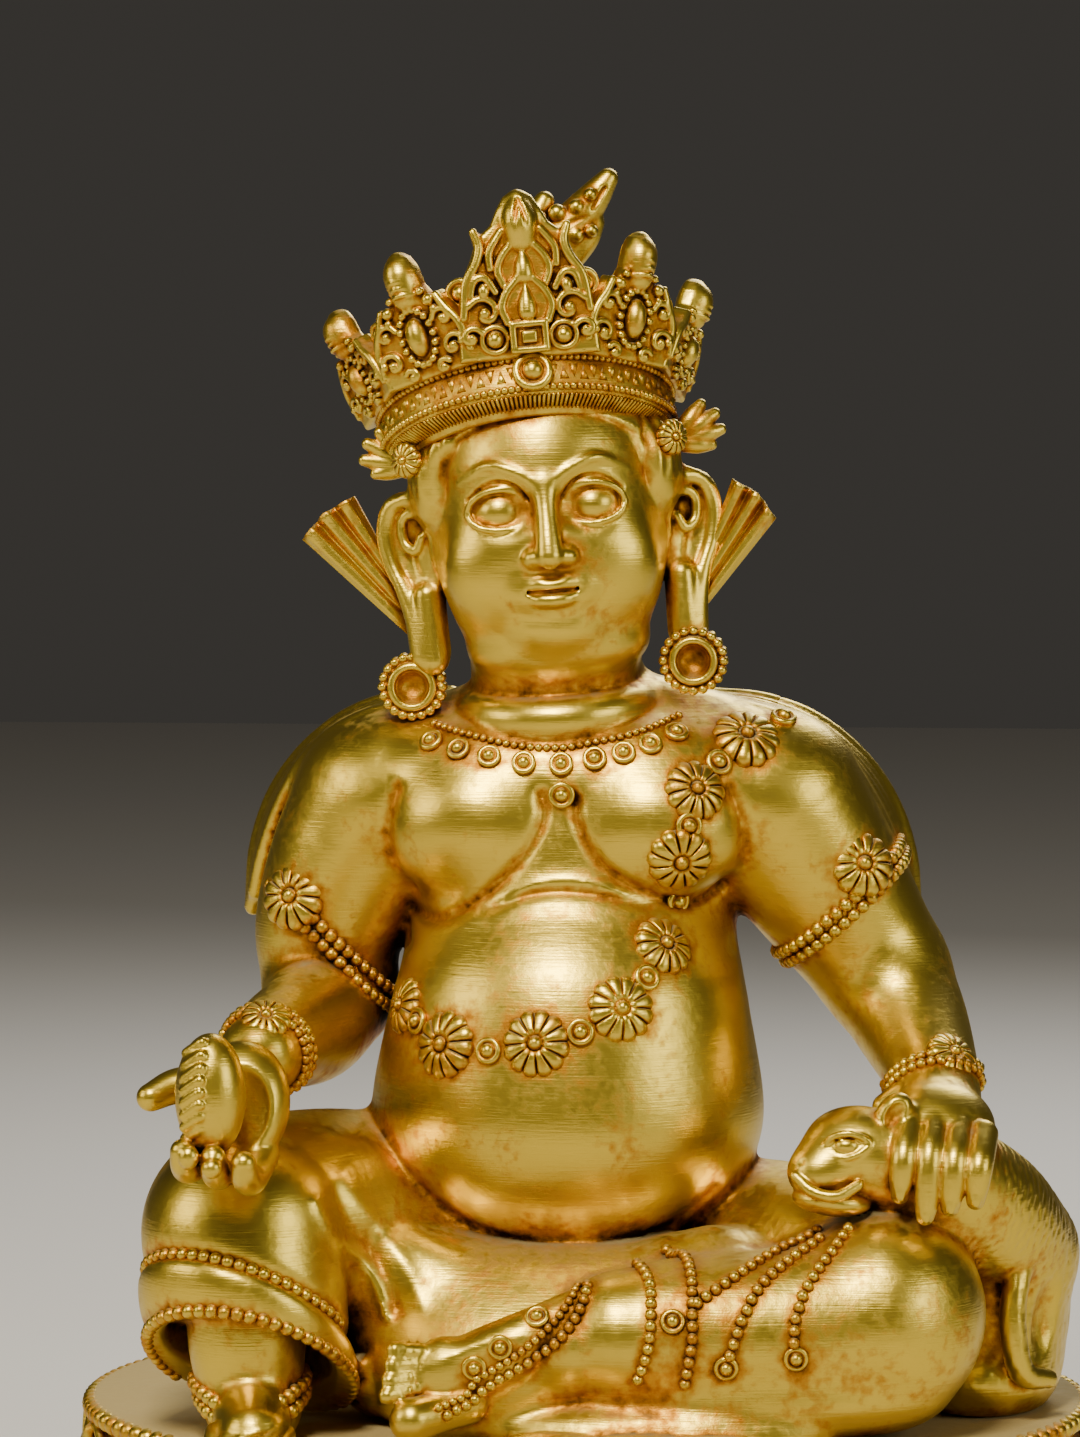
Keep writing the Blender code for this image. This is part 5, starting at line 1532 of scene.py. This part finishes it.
@dataclass
class LotusBase:
    """The oval seat: a flat dusty top with a beaded edge, two rows of petals, and a plain foot."""

    length: float = 224.0
    depth: float = 200.0
    height: float = BASE_HEIGHT
    flange: float = 6.0
    bead: float = 4.6
    petals: int = 20
    plain: float = 84.0

    def oval(self, grow: float, height: float, count: int) -> list[tuple[float, float, float]]:
        """Points round the seat's oval, wider than the rim by grow."""
        a, b = self.length / 2 + grow, self.depth / 2 + grow
        return [(a * math.cos(t), b * math.sin(t), height) for t in angles(count)]

    def body(self) -> Object:
        """The turned body of the seat."""
        top, bead = self.height, self.bead
        profile = [
            (self.flange - 0.8, 0.0), (self.flange, 0.6), (self.flange, 0.08 * top),
            (self.flange - 0.9, 0.105 * top),
            (1.5, 0.115 * top), (-1.0, 0.13 * top), (-4.0, 0.20 * top), (-7.5, 0.32 * top),
            (-9.0, 0.44 * top),
            (-9.2, 0.48 * top), (-9.0, 0.52 * top), (-7.2, 0.66 * top), (-4.4, 0.78 * top),
            (-3.0, 0.84 * top),
            (-2.8, top - 1.1 * bead), (-1.6, top - 1.0 * bead), (-1.6, top - 0.2 * bead), (-2.4, top - 0.3),
            (-3.6, top - 0.05), (-8.0, top - 0.1), (-14.0, top),
        ]
        return lofted("lotus_base_body", [self.oval(g, z, 200) for g, z in profile], FLOOR)

    def petal(self) -> Object:
        """One petal that curls outward, drawn 34 mm wide and 16 mm tall, with Z outward."""
        clay = Clay((-19, -3, -4), (19, 20, 11), quick_step(0.45))
        side = [(-16.2, 0.0), (-17.0, 5.0), (-14.5, 10.0), (-9.0, 13.8), (0.0, 17.5)]
        arch = arched(side)
        clay.add(plate(arch, 4.0, 1.2), 0, moved(0, 0, 2.2) @ rotated(90, "X") @ rotated(180, "X"))
        for x in (-7.0, 7.0):
            clay.add(ball((x, 6.4, 4.0), (6.4, 6.6, 3.0)), 0.8)
        rim = [(x * 0.97, y * 0.97, 4.4, 1.0) for x, y in arch]
        clay.add(limb(rim, 5), 0.7)
        inner = [(x * 0.74, 1.0 + y * 0.72, 4.6, 0.7) for x, y in arch]
        clay.add(limb(inner, 5), 0.5)
        clay.add(limb([(0, 2, 6.0, 1.4), (0, 9, 6.4, 1.2), (0, 15.5, 5.6, 1.6)]), 0.8)
        return clay.mesh("petal", clay.crevice(1.6, 1.8), 5000)

    def petal_frames(self, low: float, high: float, grow: float, shift: float) -> list[Matrix]:
        """Where each petal of a row stands, its tip at the second height."""
        a, b = self.length / 2 + grow, self.depth / 2 + grow
        width = math.pi * (self.length + self.depth) / 2 / self.petals * 0.99
        frames = []
        for k in range(self.petals):
            turn = 2 * math.pi * (k + shift) / self.petals - math.pi / 2
            if abs((math.degrees(turn) - 90 + 180) % 360 - 180) < self.plain / 2:
                continue
            outward = Vector((b * math.cos(turn), a * math.sin(turn), 0)).normalized()
            place = Vector((a * math.cos(turn), b * math.sin(turn), low)) - outward * 1.5
            up = 1 if high > low else -1
            side = Vector((0, 0, up)).cross(outward)
            stand = Matrix((side, Vector((0, 0, up)), outward)).transposed().to_4x4()
            size = Matrix.Diagonal((width / 34.5, abs(high - low) / 16.6, 1.0, 1.0))
            frames.append(Matrix.Translation(place) @ stand @ size)
        return frames

    def build(self, shop: Workshop) -> None:
        top = self.height
        shop.finished(self.body(), DUSTY, Matrix.Identity(4), "lotus_base")
        shop.masters["petal"] = self.petal()
        rows = (
            ("upper_petals", 0.47 * top, 0.88 * top, -4.2, 0.0),
            ("lower_petals", 0.49 * top, 0.11 * top, -3.4, 0.5),
        )
        for name, low, high, grow, shift in rows:
            frames = self.petal_frames(low, high, grow, shift)
            shop.finished(shop.scattered(name, "petal", frames, MATT), MATT, FLOOR)
        edge = [Vector(p) for p in self.oval(-1.9, top - 0.5 * self.bead, 240)]
        beads = shop.string("rim_beads", edge, 4.35, self.bead / 2, True)
        shop.finished(beads, RELIEF, FLOOR)


# The crown and what hangs at the ears


@dataclass
class Crown:
    """The five-leaf crown: a jewelled band, leaves grown together into one wall, and the hair's finial."""

    radius: float = 31.8
    band: float = 7.5
    leaf_height: float = 38.0
    leaf_width: float = 27.0
    front_drawn: tuple[float, float] = (29.0, 36.6)
    side_drawn: tuple[float, float] = (25.4, 30.6)
    overlap: float = 1.04
    scrolls: Rows = ((-3.4, 3.0, 0.72), (3.4, 3.0, 0.72), (-2.6, 8.0, 0.68), (3.0, 8.4, 0.66))
    wall_height: float = 14.0
    teeth: int = 88
    lean: float = 0.34
    leaves: Rows = ((0, 0.92, 1.0, 18), (-39, 0.71, 0.84, 22), (39, 0.71, 0.84, 22), (-77, 0.62, 0.84, 22),
                    (77, 0.62, 0.84, 22))

    def wall(self) -> Object:
        """The band with the wall of the leaves over it, low at the back."""
        rows = []
        for angle in angles(144, 0.5):
            tall = 1.5 + (self.wall_height - 1.5) * min(1.0, max(0.0, 0.5 - 1.4 * math.sin(angle)))
            lean = self.lean * tall
            outer = [(-0.2, -0.6), (0.1, 0.0), (0.1, self.band), (-0.4, self.band + 0.4),
                     (lean - 0.4, self.band + tall - 0.5)]
            inner = [(lean - 1.2, self.band + tall), (lean - 2.6, self.band + tall - 0.2),
                     (-5.4, self.band - 1), (-5.6, -0.6)]
            rows.append(self.ringed(angle, outer + inner))
        return lofted("crown_wall", rows, CROWN, endless=True)

    def hairline(self) -> Object:
        """The combed fringe under the band, drawn in to a smooth roll on the brow."""
        profile = [(0.0, -0.4), (-0.6, -0.8), (-4.7, -3.0), (-5.0, -3.6), (-5.7, -4.0), (-6.5, -3.8),
                   (-7.6, -3.0), (-13.0, -1.5), (-13.0, 0.6), (-2.0, 0.8)]
        return lofted("hairline", [self.ringed(angle, profile) for angle in angles(144)], CROWN, endless=True)

    def round_band(self, out: float, up: float, count: int = 160) -> list[Vector]:
        """A path round the crown at a height above the band's foot."""
        return [CROWN @ Vector(self.ringed(t, [(out, up)])[0]) for t in angles(count)]

    def ringed(self, angle: float, profile: Rows) -> Rows:
        """A profile's (out, up) rows as points at an angle round the crown."""
        ways = (math.cos(angle), math.sin(angle))
        return [((self.radius + out) * ways[0], (self.radius + out) * ways[1], up) for out, up in profile]

    def on_band(self, turn: float, out: float, up: float, lean: float = 0.0) -> Matrix:
        """A frame on the band that looks outward, so many degrees round from the front."""
        stand = CROWN @ rotated(turn, "Z") @ moved(0, -self.radius - out, up)
        return stand @ rotated(90 - lean, "X")

    def on_wall(self, turn: float, up: float, out: float = 0.3) -> Matrix:
        """A frame on the wall that looks outward, so high above the band."""
        return self.on_band(turn, out + self.lean * up, self.band + up, -math.degrees(math.atan(self.lean)))

    def flame(self, clay: Clay, foot: float, half: float, tall: float, front: float) -> None:
        """A pointed arch of broad raised line with a drop inside it."""
        side = [(-half * 0.80, foot), (-half, foot + 0.30 * tall), (-half * 0.80, foot + 0.60 * tall)]
        side += [(-half * 0.36, foot + 0.86 * tall), (0, foot + 1.02 * tall)]
        arch = arched(side)
        clay.add(plate(arch, 0.4 - 2 * front, 0.6), 0.2)
        clay.add(limb([(a, front, b, 0.95) for a, b in arch], 4), 0.25)
        drop = [(0.20, 0.30), (0.38, 0.26), (0.60, 0.13), (0.74, 0.05)]
        clay.add(limb([(0, front - 0.3, foot + b * tall, max(half * r * 1.3, 0.4)) for b, r in drop], 4), 0.1)

    def curl(self, clay: Clay, x: float, z: float, size: float, side: int, turn: float = 0.5) -> None:
        """A raised line that rolls up about a bead."""
        rows = []
        for k in range(9):
            angle = turn + 0.62 * k
            reach = size * (1.25 - 0.115 * k)
            rows.append((x + side * reach * math.cos(angle), -2.3, z + reach * math.sin(angle), 0.78))
        clay.add(limb(rows, 3), 0.25)
        clay.add(ball((x, -2.6, z), 0.32 * size + 0.25), 0.15)

    def round_jewel(self, clay: Clay, x: float, z: float, size: float, tall: float = 1.0) -> None:
        """A jewel in a raised ring, longer than wide where tall is over 1."""
        clay.add(ball((x, -1.9, z), (size, 2.2, size * tall)), 0.1)
        path = []
        for k in range(13):
            angle = 2 * math.pi * k / 12
            across, up = (size + 0.9) * math.cos(angle), (size * tall + 0.9) * math.sin(angle)
            path.append((x + across, -2.1, z + up, 0.62))
        clay.add(limb(path, 3), 0.2)

    def front_leaf(self) -> Object:
        """The tall leaf over the brow, drawn 30 mm wide and 36 mm tall."""
        clay = Clay((-19, -7, -2), (19, 4, 41), quick_step(0.3))
        side = [(15.6, -1), (15.4, 6), (14.8, 12), (13.6, 17.5), (11.6, 21.5), (10.4, 24.6), (11.2, 28.6),
                (8.6, 27.4)]
        side += [(6.4, 29.2), (5.0, 32.2), (3.2, 35.2), (0, 36.6)]
        clay.add(plate(arched(side), 3.8, 1.2))
        clay.add(limb([(0, -1.0, 26, 3.6), (0, -1.6, 30, 3.9), (0, -0.9, 34, 2.5)]), 1.2)
        for side in (-1, 1):
            clay.cut(limb([(side * 1.5, -5.6, 26.5, 0.5), (side * 1.2, -5.4, 30, 0.6),
                           (0, -3.4, 34.5, 0.4)]), 0.3)
        self.flame(clay, 15.4, 5.7, 11.0, -2.2)
        self.flame(clay, 7.2, 5.5, 10.8, -2.9)
        for side in (-1, 1):
            self.curl(clay, side * 9.4, 9.6, 3.2, side)
            self.curl(clay, side * 12.6, 4.4, 2.0, -side)
            hook = [(6.6, -2.3, 14.2, 0.8), (8.8, -2.5, 17.6, 0.9), (11.2, -2.4, 17.0, 0.9),
                    (12.2, -2.3, 13.6, 0.7)]
            clay.add(limb(flipped(hook, side), 4), 0.3)
            clay.add(ball((side * 9.2, -2.4, 14.6), (1.3, 1.3, 1.7)), 0.2)
            edge = [(14.0, -2.0, 9, 0.9), (13.0, -2.1, 16.5, 1.0), (10.4, -2.2, 21.0, 1.1),
                    (9.4, -2.0, 24.6, 1.1), (10.4, -1.9, 28.0, 0.9)]
            clay.add(limb(flipped(edge, side)), 0.4)
            stem = [(7.4, -2.2, 19.5, 0.8), (7.2, -2.3, 23.4, 0.9), (4.4, -2.2, 27.6, 0.8)]
            clay.add(limb(flipped(stem, side)), 0.4)
            self.round_jewel(clay, side * 7.6, 3.6, 2.0)
        for x in (-3.6, 3.6):
            clay.add(limb([(x, -3.4, 0.8, 0.8), (x, -3.4, 6.6, 0.8)]), 0.2)
        for z in (0.8, 6.6):
            clay.add(limb([(-3.6, -3.4, z, 0.8), (3.6, -3.4, z, 0.8)]), 0.2)
        clay.add(plate([(-3.4, 1), (3.4, 1), (3.4, 6.4), (-3.4, 6.4)], 6.2, 0.4), 0.1)
        clay.add(plate([(-1.7, 2.3), (1.7, 2.3), (1.7, 5.1), (-1.7, 5.1)], 8.0, 0.6), 0.1)
        return clay.mesh("front_leaf", clay.crevice(1.3, 2.2), 40000)

    def side_leaf(self) -> Object:
        """A leaf with one long jewel under a ringed tip, drawn 26 mm wide and 30 mm tall."""
        clay = Clay((-16, -7, -2), (16, 4, 35), quick_step(0.3))
        side = [(13.6, -1), (13.4, 7), (12.2, 12), (10.0, 15.6), (8.6, 18.8), (5.8, 18.6), (4.4, 21.5),
                (4.0, 26.0)]
        side += [(2.8, 29.0), (0, 30.6)]
        clay.add(plate(arched(side), 3.8, 1.2))
        clay.add(limb([(0, -0.8, 19.5, 3.6), (0, -1.0, 25.0, 4.0), (0, -0.2, 28.2, 2.6)]), 1.0)
        for z in (19.8, 21.6, 23.4):
            clay.add(limb([(-3.4, -2.2, z, 0.5), (0, -4.7, z + 0.6, 0.65), (3.4, -2.2, z, 0.5)]), 0.2)
        clay.add(ball((0, -2.0, 9.6), (2.7, 2.9, 4.9)), 0.1)
        for angle in angles(18):
            clay.add(ball((4.5 * math.cos(angle), -2.3, 9.6 + 6.9 * math.sin(angle)), 0.98), 0.25)
        for side in (-1, 1):
            self.curl(clay, side * 8.2, 12.2, 2.3, -side, 0.2)
            self.curl(clay, side * 8.8, 5.0, 2.5, side)
            self.curl(clay, side * 4.6, 0.9, 1.6, side)
            edge = [(12.4, -1.9, 3, 0.8), (11.8, -2.0, 10, 1.0), (9.4, -2.1, 14.8, 1.0),
                    (8.0, -1.9, 18.0, 0.9)]
            clay.add(limb(flipped(edge, side)), 0.4)
            for x, z, r in ((5.9, 17.4, 1.5), (4.4, 20.0, 1.0), (11.4, 5.4, 1.2), (6.6, 15.0, 1.0)):
                clay.add(ball((side * x, -2.2, z), r), 0.2)
        return clay.mesh("side_leaf", clay.crevice(1.3, 2.2), 30000)

    def finial(self) -> Object:
        """The curling jewel at the top of the hair knot, broad and knobbly."""
        clay = Clay((-12, -8, -6), (16, 8, 30), quick_step(0.35))
        clay.add(limb([(-0.5, 0, -4, 5.4), (-0.5, 0, 3, 5.4), (1.6, 0, 10, 4.8), (4.2, 0, 17, 3.7),
                       (6.0, 0, 22.6, 2.3)]))
        clay.add(limb([(-2.6, 0, 4, 4.0), (-5.8, 0, 9.0, 3.4), (-5.6, 0, 13.4, 2.2)]), 1.2)
        clay.add(limb([(3.6, 0, 3, 3.2), (5.8, 0, 8.5, 2.8), (6.6, 0, 12.6, 2.0)]), 1.0)
        knobs = ((-5.4, 9.4, 1.8), (-2.0, 11.8, 2.0), (1.6, 14.4, 1.8), (-0.6, 6.6, 1.9), (3.4, 8.6, 1.9),
                 (6.4, 10.6, 1.5), (-3.2, 2.6, 1.7), (2.6, 2.8, 1.8), (3.6, 18.0, 1.5))
        for x, z, r in knobs:
            for front in (-1, 1):
                clay.add(ball((x, front * 3.4, z), (r, 1.9, r)), 0.3)
        for front in (-1, 1):
            clay.cut(limb([(-4, front * 5.2, 6, 0.7), (0, front * 5.4, 9.4, 0.8),
                           (4.6, front * 4.4, 13.4, 0.6)]), 0.3)
            clay.cut(limb([(5.2, front * 3.8, 15.4, 0.6), (6.0, front * 2.6, 20.4, 0.5)]), 0.3)
        return clay.mesh("finial", clay.crevice(1.6, 2.0), 16000)

    def band_pattern(self, shop: Workshop) -> list[Object]:
        """The bead rows, the zigzag between them, the jewels and the scrolls between the leaves."""
        made = []
        for name, up in (("band_beads_low", 0.4), ("band_beads_high", self.band - 0.5)):
            made.append(shop.string(name, self.round_band(0.35, up), 1.5, 0.82, True))
        prism = [[(-1.15, -0.95, -0.4), (1.15, -0.95, -0.4), (0, 1.05, -0.4)], [(0, -0.3, 0.62)]]
        shop.masters["tooth"] = lofted("tooth", prism)
        teeth = []
        for k in range(self.teeth):
            tooth = self.on_band(k * 360 / self.teeth, 0.2, self.band / 2) @ rotated(0 if k % 2 else 180, "Z")
            teeth.append(tooth @ Matrix.Diagonal((1.35, 2.3, 1.35, 1)))
        made.append(shop.scattered("band_teeth", "tooth", teeth))
        jewels = [self.on_band(0, 0.9, self.band / 2) @ Matrix.Scale(1.5, 4)]
        large = Matrix.Scale(1.15, 4)
        jewels += [self.on_wall(turn, self.wall_height + 0.6) @ large for turn in (-21.5, 20.5)]
        jewels += [self.on_wall(turn, self.wall_height - 1.5) for turn in (-58, 58, -96, 96)]
        made.append(shop.scattered("crown_jewels", "ringed_bead", jewels))
        scrolls = []
        for turn in (-21, 21, -58, 58, -95, 95):
            for k, (shift, up, size) in enumerate(self.scrolls):
                flip = Matrix.Diagonal((size, size, 1, 1)) @ rotated(180 * (k % 2) + 40 * k, "Z")
                scrolls.append(self.on_wall(turn + shift, up, 0.7) @ flip)
        made.append(shop.scattered("crown_scrolls", "scroll", scrolls))
        return made

    def build(self, shop: Workshop) -> list[Finished]:
        """Builds the crown, all in millimetres."""
        made = [(smooth(self.wall()), MATT), (smooth(self.hairline()), RELIEF)]
        front, side = self.front_leaf(), self.side_leaf()
        placed = []
        for turn, height, width, flare in self.leaves:
            stand = CROWN @ rotated(turn, "Z") @ moved(0, -self.radius, self.band + 0.6) @ rotated(flare, "X")
            master, drawn = (side, self.side_drawn) if turn else (front, self.front_drawn)
            wide = self.leaf_width * width / drawn[0] * self.overlap
            tall = self.leaf_height * height / drawn[1]
            placed.append(copied(master, stand @ Matrix.Diagonal((wide, 1, tall, 1))))
        made.append((joined("crown_leaves", placed), RELIEF))
        for obj in (front, side):
            bpy.data.objects.remove(obj)
        made += [(obj, RELIEF) for obj in self.band_pattern(shop)]
        finial = self.finial()
        finial.data.transform(HEAD @ moved(4.5, 9, 58) @ rotated(24, "Y"))
        made.append((finial, RELIEF))
        made.append((self.fringe(shop), RELIEF))
        return made

    def fringe(self, shop: Workshop) -> Object:
        """Combed strokes of hair from the band down to the roll."""
        rows = [[(0, -1, 0)], [(-0.46, -0.7, 0), (0, -0.7, 0.42), (0.46, -0.7, 0), (0, -0.7, -0.3)]]
        rows += [[(-0.5, 0.7, 0), (0, 0.7, 0.5), (0.5, 0.7, 0), (0, 0.7, -0.3)], [(0, 1, 0)]]
        shop.masters["stroke"] = lofted("stroke", rows)
        frames = []
        for k in range(-58, 59):
            turn = rotated(k * 1.9, "Z")
            low = CROWN @ turn @ Vector((0, 4.6 - self.radius, -2.95))
            high = CROWN @ turn @ Vector((0, 0.4 - self.radius, -0.7))
            out = (CROWN.to_3x3() @ turn.to_3x3()) @ Vector((0, -0.47, -0.88))
            stand = facing((low + high) / 2 + out * 0.05, out, high - low)
            frames.append(stand @ Matrix.Diagonal((1.0, (high - low).length / 2, 1, 1)))
        return shop.scattered("hair_fringe", "stroke", frames)


@dataclass
class EarOrnaments:
    """The round earrings, the pleated fans above them, and the bows at the temples."""

    rings: Rows = ((-36.4, -11, 157.2), (25.2, -11, 163.2))
    fans: Sequence[tuple] = (
        ((-37.8, -6.0, 170.5), ((-61.4, 189.0), (-56.6, 194.8), (-50.0, 198.6))),
        ((22.8, -4.0, 171.5), ((42.6, 194.0), (38.8, 199.4), (33.0, 202.6))),
    )
    pleats: int = 3

    def earring(self) -> Object:
        """A ring of beads round a sunk face, 15 mm across, with Z outward."""
        clay = Clay((-9, -9, -9), (9, 9, 5), quick_step(0.25))
        clay.add(trimmed(ball((0, 0, -1.5), (7.0, 7.0, 6.4)), (0, 0, 1.0), (0, 0, 1)))
        for angle in angles(20):
            x, y = 6.5 * math.cos(angle), 6.5 * math.sin(angle)
            clay.add(ball((x, y, 0.4), (1.15, 1.05, 1.3)), 0.1)
            clay.add(ball((x, y, -3.0), (1.1, 1.1, 1.2)), 0.1)
        clay.add(ring((0, 0, 1.3), 4.5, 0.9), 0.2)
        clay.cut(ball((0, 0, 2.4), (3.7, 3.7, 3.6)), 0.3)
        return clay.mesh("earring", clay.crevice(1.2, 2.0), 18000)

    def fan(self, start: Sequence[float], ends: Rows) -> Object:
        """Cloth in broad pleats that spread from the ear, with a squared end."""
        rows = []
        count = 20 * self.pleats + 1
        for k in range(count):
            share = k / (count - 1)
            t = share * (len(ends) - 1)
            low = min(int(t), len(ends) - 2)
            x = ends[low][0] * (low + 1 - t) + ends[low + 1][0] * (t - low)
            z = ends[low][1] * (low + 1 - t) + ends[low + 1][1] * (t - low)
            wave = 1 - 2 * abs(math.cos(math.pi * share * self.pleats)) ** 5
            side = 1 if ends[0][0] < start[0] else -1
            near = (start[0] - side * 3.6 * share, start[2] - 2.5 + 15.0 * share)
            line = []
            for reach in (0.0, 0.2, 0.4, 0.6, 0.8, 0.95, 1.0):
                py = start[1] - wave * (0.35 + 0.75 * reach) - (0.7 if reach == 1.0 else 0.0)
                line.append((near[0] + (x - near[0]) * reach, py, near[1] + (z - near[1]) * reach))
            back = [(px, py + 2.0, pz) for px, py, pz in line][::-1]
            rows.append(line + back)
        return lofted("fan", rows)

    def bow(self, side: int) -> Object:
        """The spread ends of the ribbon behind a temple flower."""
        reach = Clay((-12, -6, -12), (18, 6, 14), quick_step(0.35))
        for angle, size in ((-14, 0.8), (6, 1.0), (26, 1.0), (46, 0.9)):
            a = math.radians(angle)
            tip = (10.5 * size * math.cos(a), 0, 10.5 * size * math.sin(a) + 1.0)
            rows = [(0, 0, 0, 1.8), (tip[0] * 0.6, -0.8, tip[2] * 0.6, 2.1), (*tip, 1.3)]
            reach.add(limb(rows), 0.4)
        obj = reach.mesh("bow", reach.crevice(1.6, 2.0), 7000)
        turn = Matrix.Identity(4) if side > 0 else rotated(180, "Z")
        obj.data.transform(HEAD @ moved(side * 28.5, -3, 17.5) @ turn)
        return obj

    def build(self, shop: Workshop) -> list[Finished]:
        """Builds the ornaments of both ears."""
        shop.masters["earring"] = self.earring()
        frames = [facing(Vector(place), (0.05, -1, 0)) for place in self.rings]
        made = [(shop.scattered("earrings", "earring", frames), RELIEF)]
        made.append((smooth(joined("ear_fans", [self.fan(*fan) for fan in self.fans])), BURNISHED))
        made.append((joined("temple_bows", [self.bow(-1), self.bow(1)]), RELIEF))
        frames = []
        for side in (-1, 1):
            place = HEAD @ moved(side * 29.2 - 0.6, -13.0, 19.0) @ rotated(90, "X") @ rotated(side * 38, "Y")
            frames.append(place @ Matrix.Scale(0.52, 4))
        made.append((shop.scattered("temple_flowers", "flower", frames), RELIEF))
        return made


# The studio


@dataclass
class Studio:
    """A pale floor, soft lights, and the camera at the photograph's place."""

    target: tuple[float, float, float] = (-0.0095, -0.008, 0.190)
    distance: float = 1.3
    azimuth: float = 6.0
    elevation: float = 3.5
    focal_px: float = 5909.0
    image: tuple[int, int] = (1080, 1437)
    sensor: float = 36.0

    def camera(self) -> None:
        """Sets the camera up for the photograph's framing."""
        data = bpy.data.cameras.new("camera")
        data.sensor_width = self.sensor
        data.lens = self.focal_px / max(self.image) * self.sensor
        data.clip_start = 0.01
        obj = put("camera", data)
        a, e = math.radians(self.azimuth), math.radians(self.elevation)
        back = Vector((math.sin(a) * math.cos(e), -math.cos(a) * math.cos(e), math.sin(e)))
        obj.location = Vector(self.target) + back * self.distance
        obj.rotation_euler = (-back).to_track_quat("-Z", "Y").to_euler()
        bpy.context.scene.camera = obj

    def light(self, name: str, at: Sequence[float], size: float, power: float, tint: str) -> None:
        """A soft square light that looks at the statue."""
        data = bpy.data.lights.new(name, "AREA")
        data.size = size
        data.energy = power
        data.color = linear(tint)[:3]
        obj = put(name, data)
        obj.location = at
        obj.rotation_euler = (Vector((0, 0, 0.17)) - Vector(at)).to_track_quat("-Z", "Y").to_euler()

    def build(self) -> None:
        """Builds the floor, the lights, the world and the camera."""
        square = ((-3, -3), (3, -3), (3, 3), (-3, 3))
        floor = lofted("floor", [[(x, y, z) for x, y in square] for z in (0, -0.02)])
        paper = bpy.data.materials.new("backdrop_paper")
        paper.use_nodes = True
        shader = paper.node_tree.nodes["Principled BSDF"]
        shader.inputs["Base Color"].default_value = linear("D8D4CC")
        shader.inputs["Roughness"].default_value = 0.9
        floor.data.materials.append(paper)
        floor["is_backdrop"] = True
        world = bpy.data.worlds.new("studio")
        world.use_nodes = True
        sky = world.node_tree.nodes["Background"]
        sky.inputs["Color"].default_value = linear("8C8780")
        sky.inputs["Strength"].default_value = 0.16
        bpy.context.scene.world = world
        self.light("key", (-0.12, -0.80, 1.00), 0.30, 19, "FFF8EA")
        self.light("side", (-0.95, -0.45, 0.55), 0.5, 4, "FFF6E6")
        self.light("fill", (0.95, -0.55, 0.45), 0.5, 4, "FFFFFF")
        self.light("rim", (0.2, 0.8, 0.8), 0.5, 6, "FFFFFF")
        self.camera()
        LOG.info("floor, lights and camera are set up")


def corners(box: Sequence) -> list[list[float]]:
    """A box as plain lists of numbers."""
    return [list(map(float, corner)) for corner in box]


def main() -> None:
    """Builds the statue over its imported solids, piece by piece."""
    logging.basicConfig(level=logging.INFO, format="%(message)s")
    for obj in list(bpy.data.objects):
        bpy.data.objects.remove(obj)
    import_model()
    solid_box = corners(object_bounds())
    shop = Workshop(beads=bead_string_tree(), scatter=scatter_tree())
    shop.finishes = {finish.name: finish.made() for finish in FINISHES}
    make_masters(shop)
    body = Figure().build(shop)
    worn = Garland().build(shop) + Bands().build(shop)
    crown = Crown().build(shop)
    ears = EarOrnaments().build(shop)
    for obj, _ in body:
        beside(obj, worn + [o for o, _ in crown + ears])
    for obj, finish in body:
        shop.finished(obj, finish, SEAT, "jambhala_figure")
    for obj in worn:
        shop.finished(obj, RELIEF)
    for obj, finish in crown + ears:
        shop.finished(obj, finish)
    LotusBase().build(shop)
    for master in shop.masters.values():
        bpy.data.objects.remove(master)
    Studio().build()
    {"solids": solid_box, "visual": corners(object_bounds())}


if __name__ == "__main__":
    main()
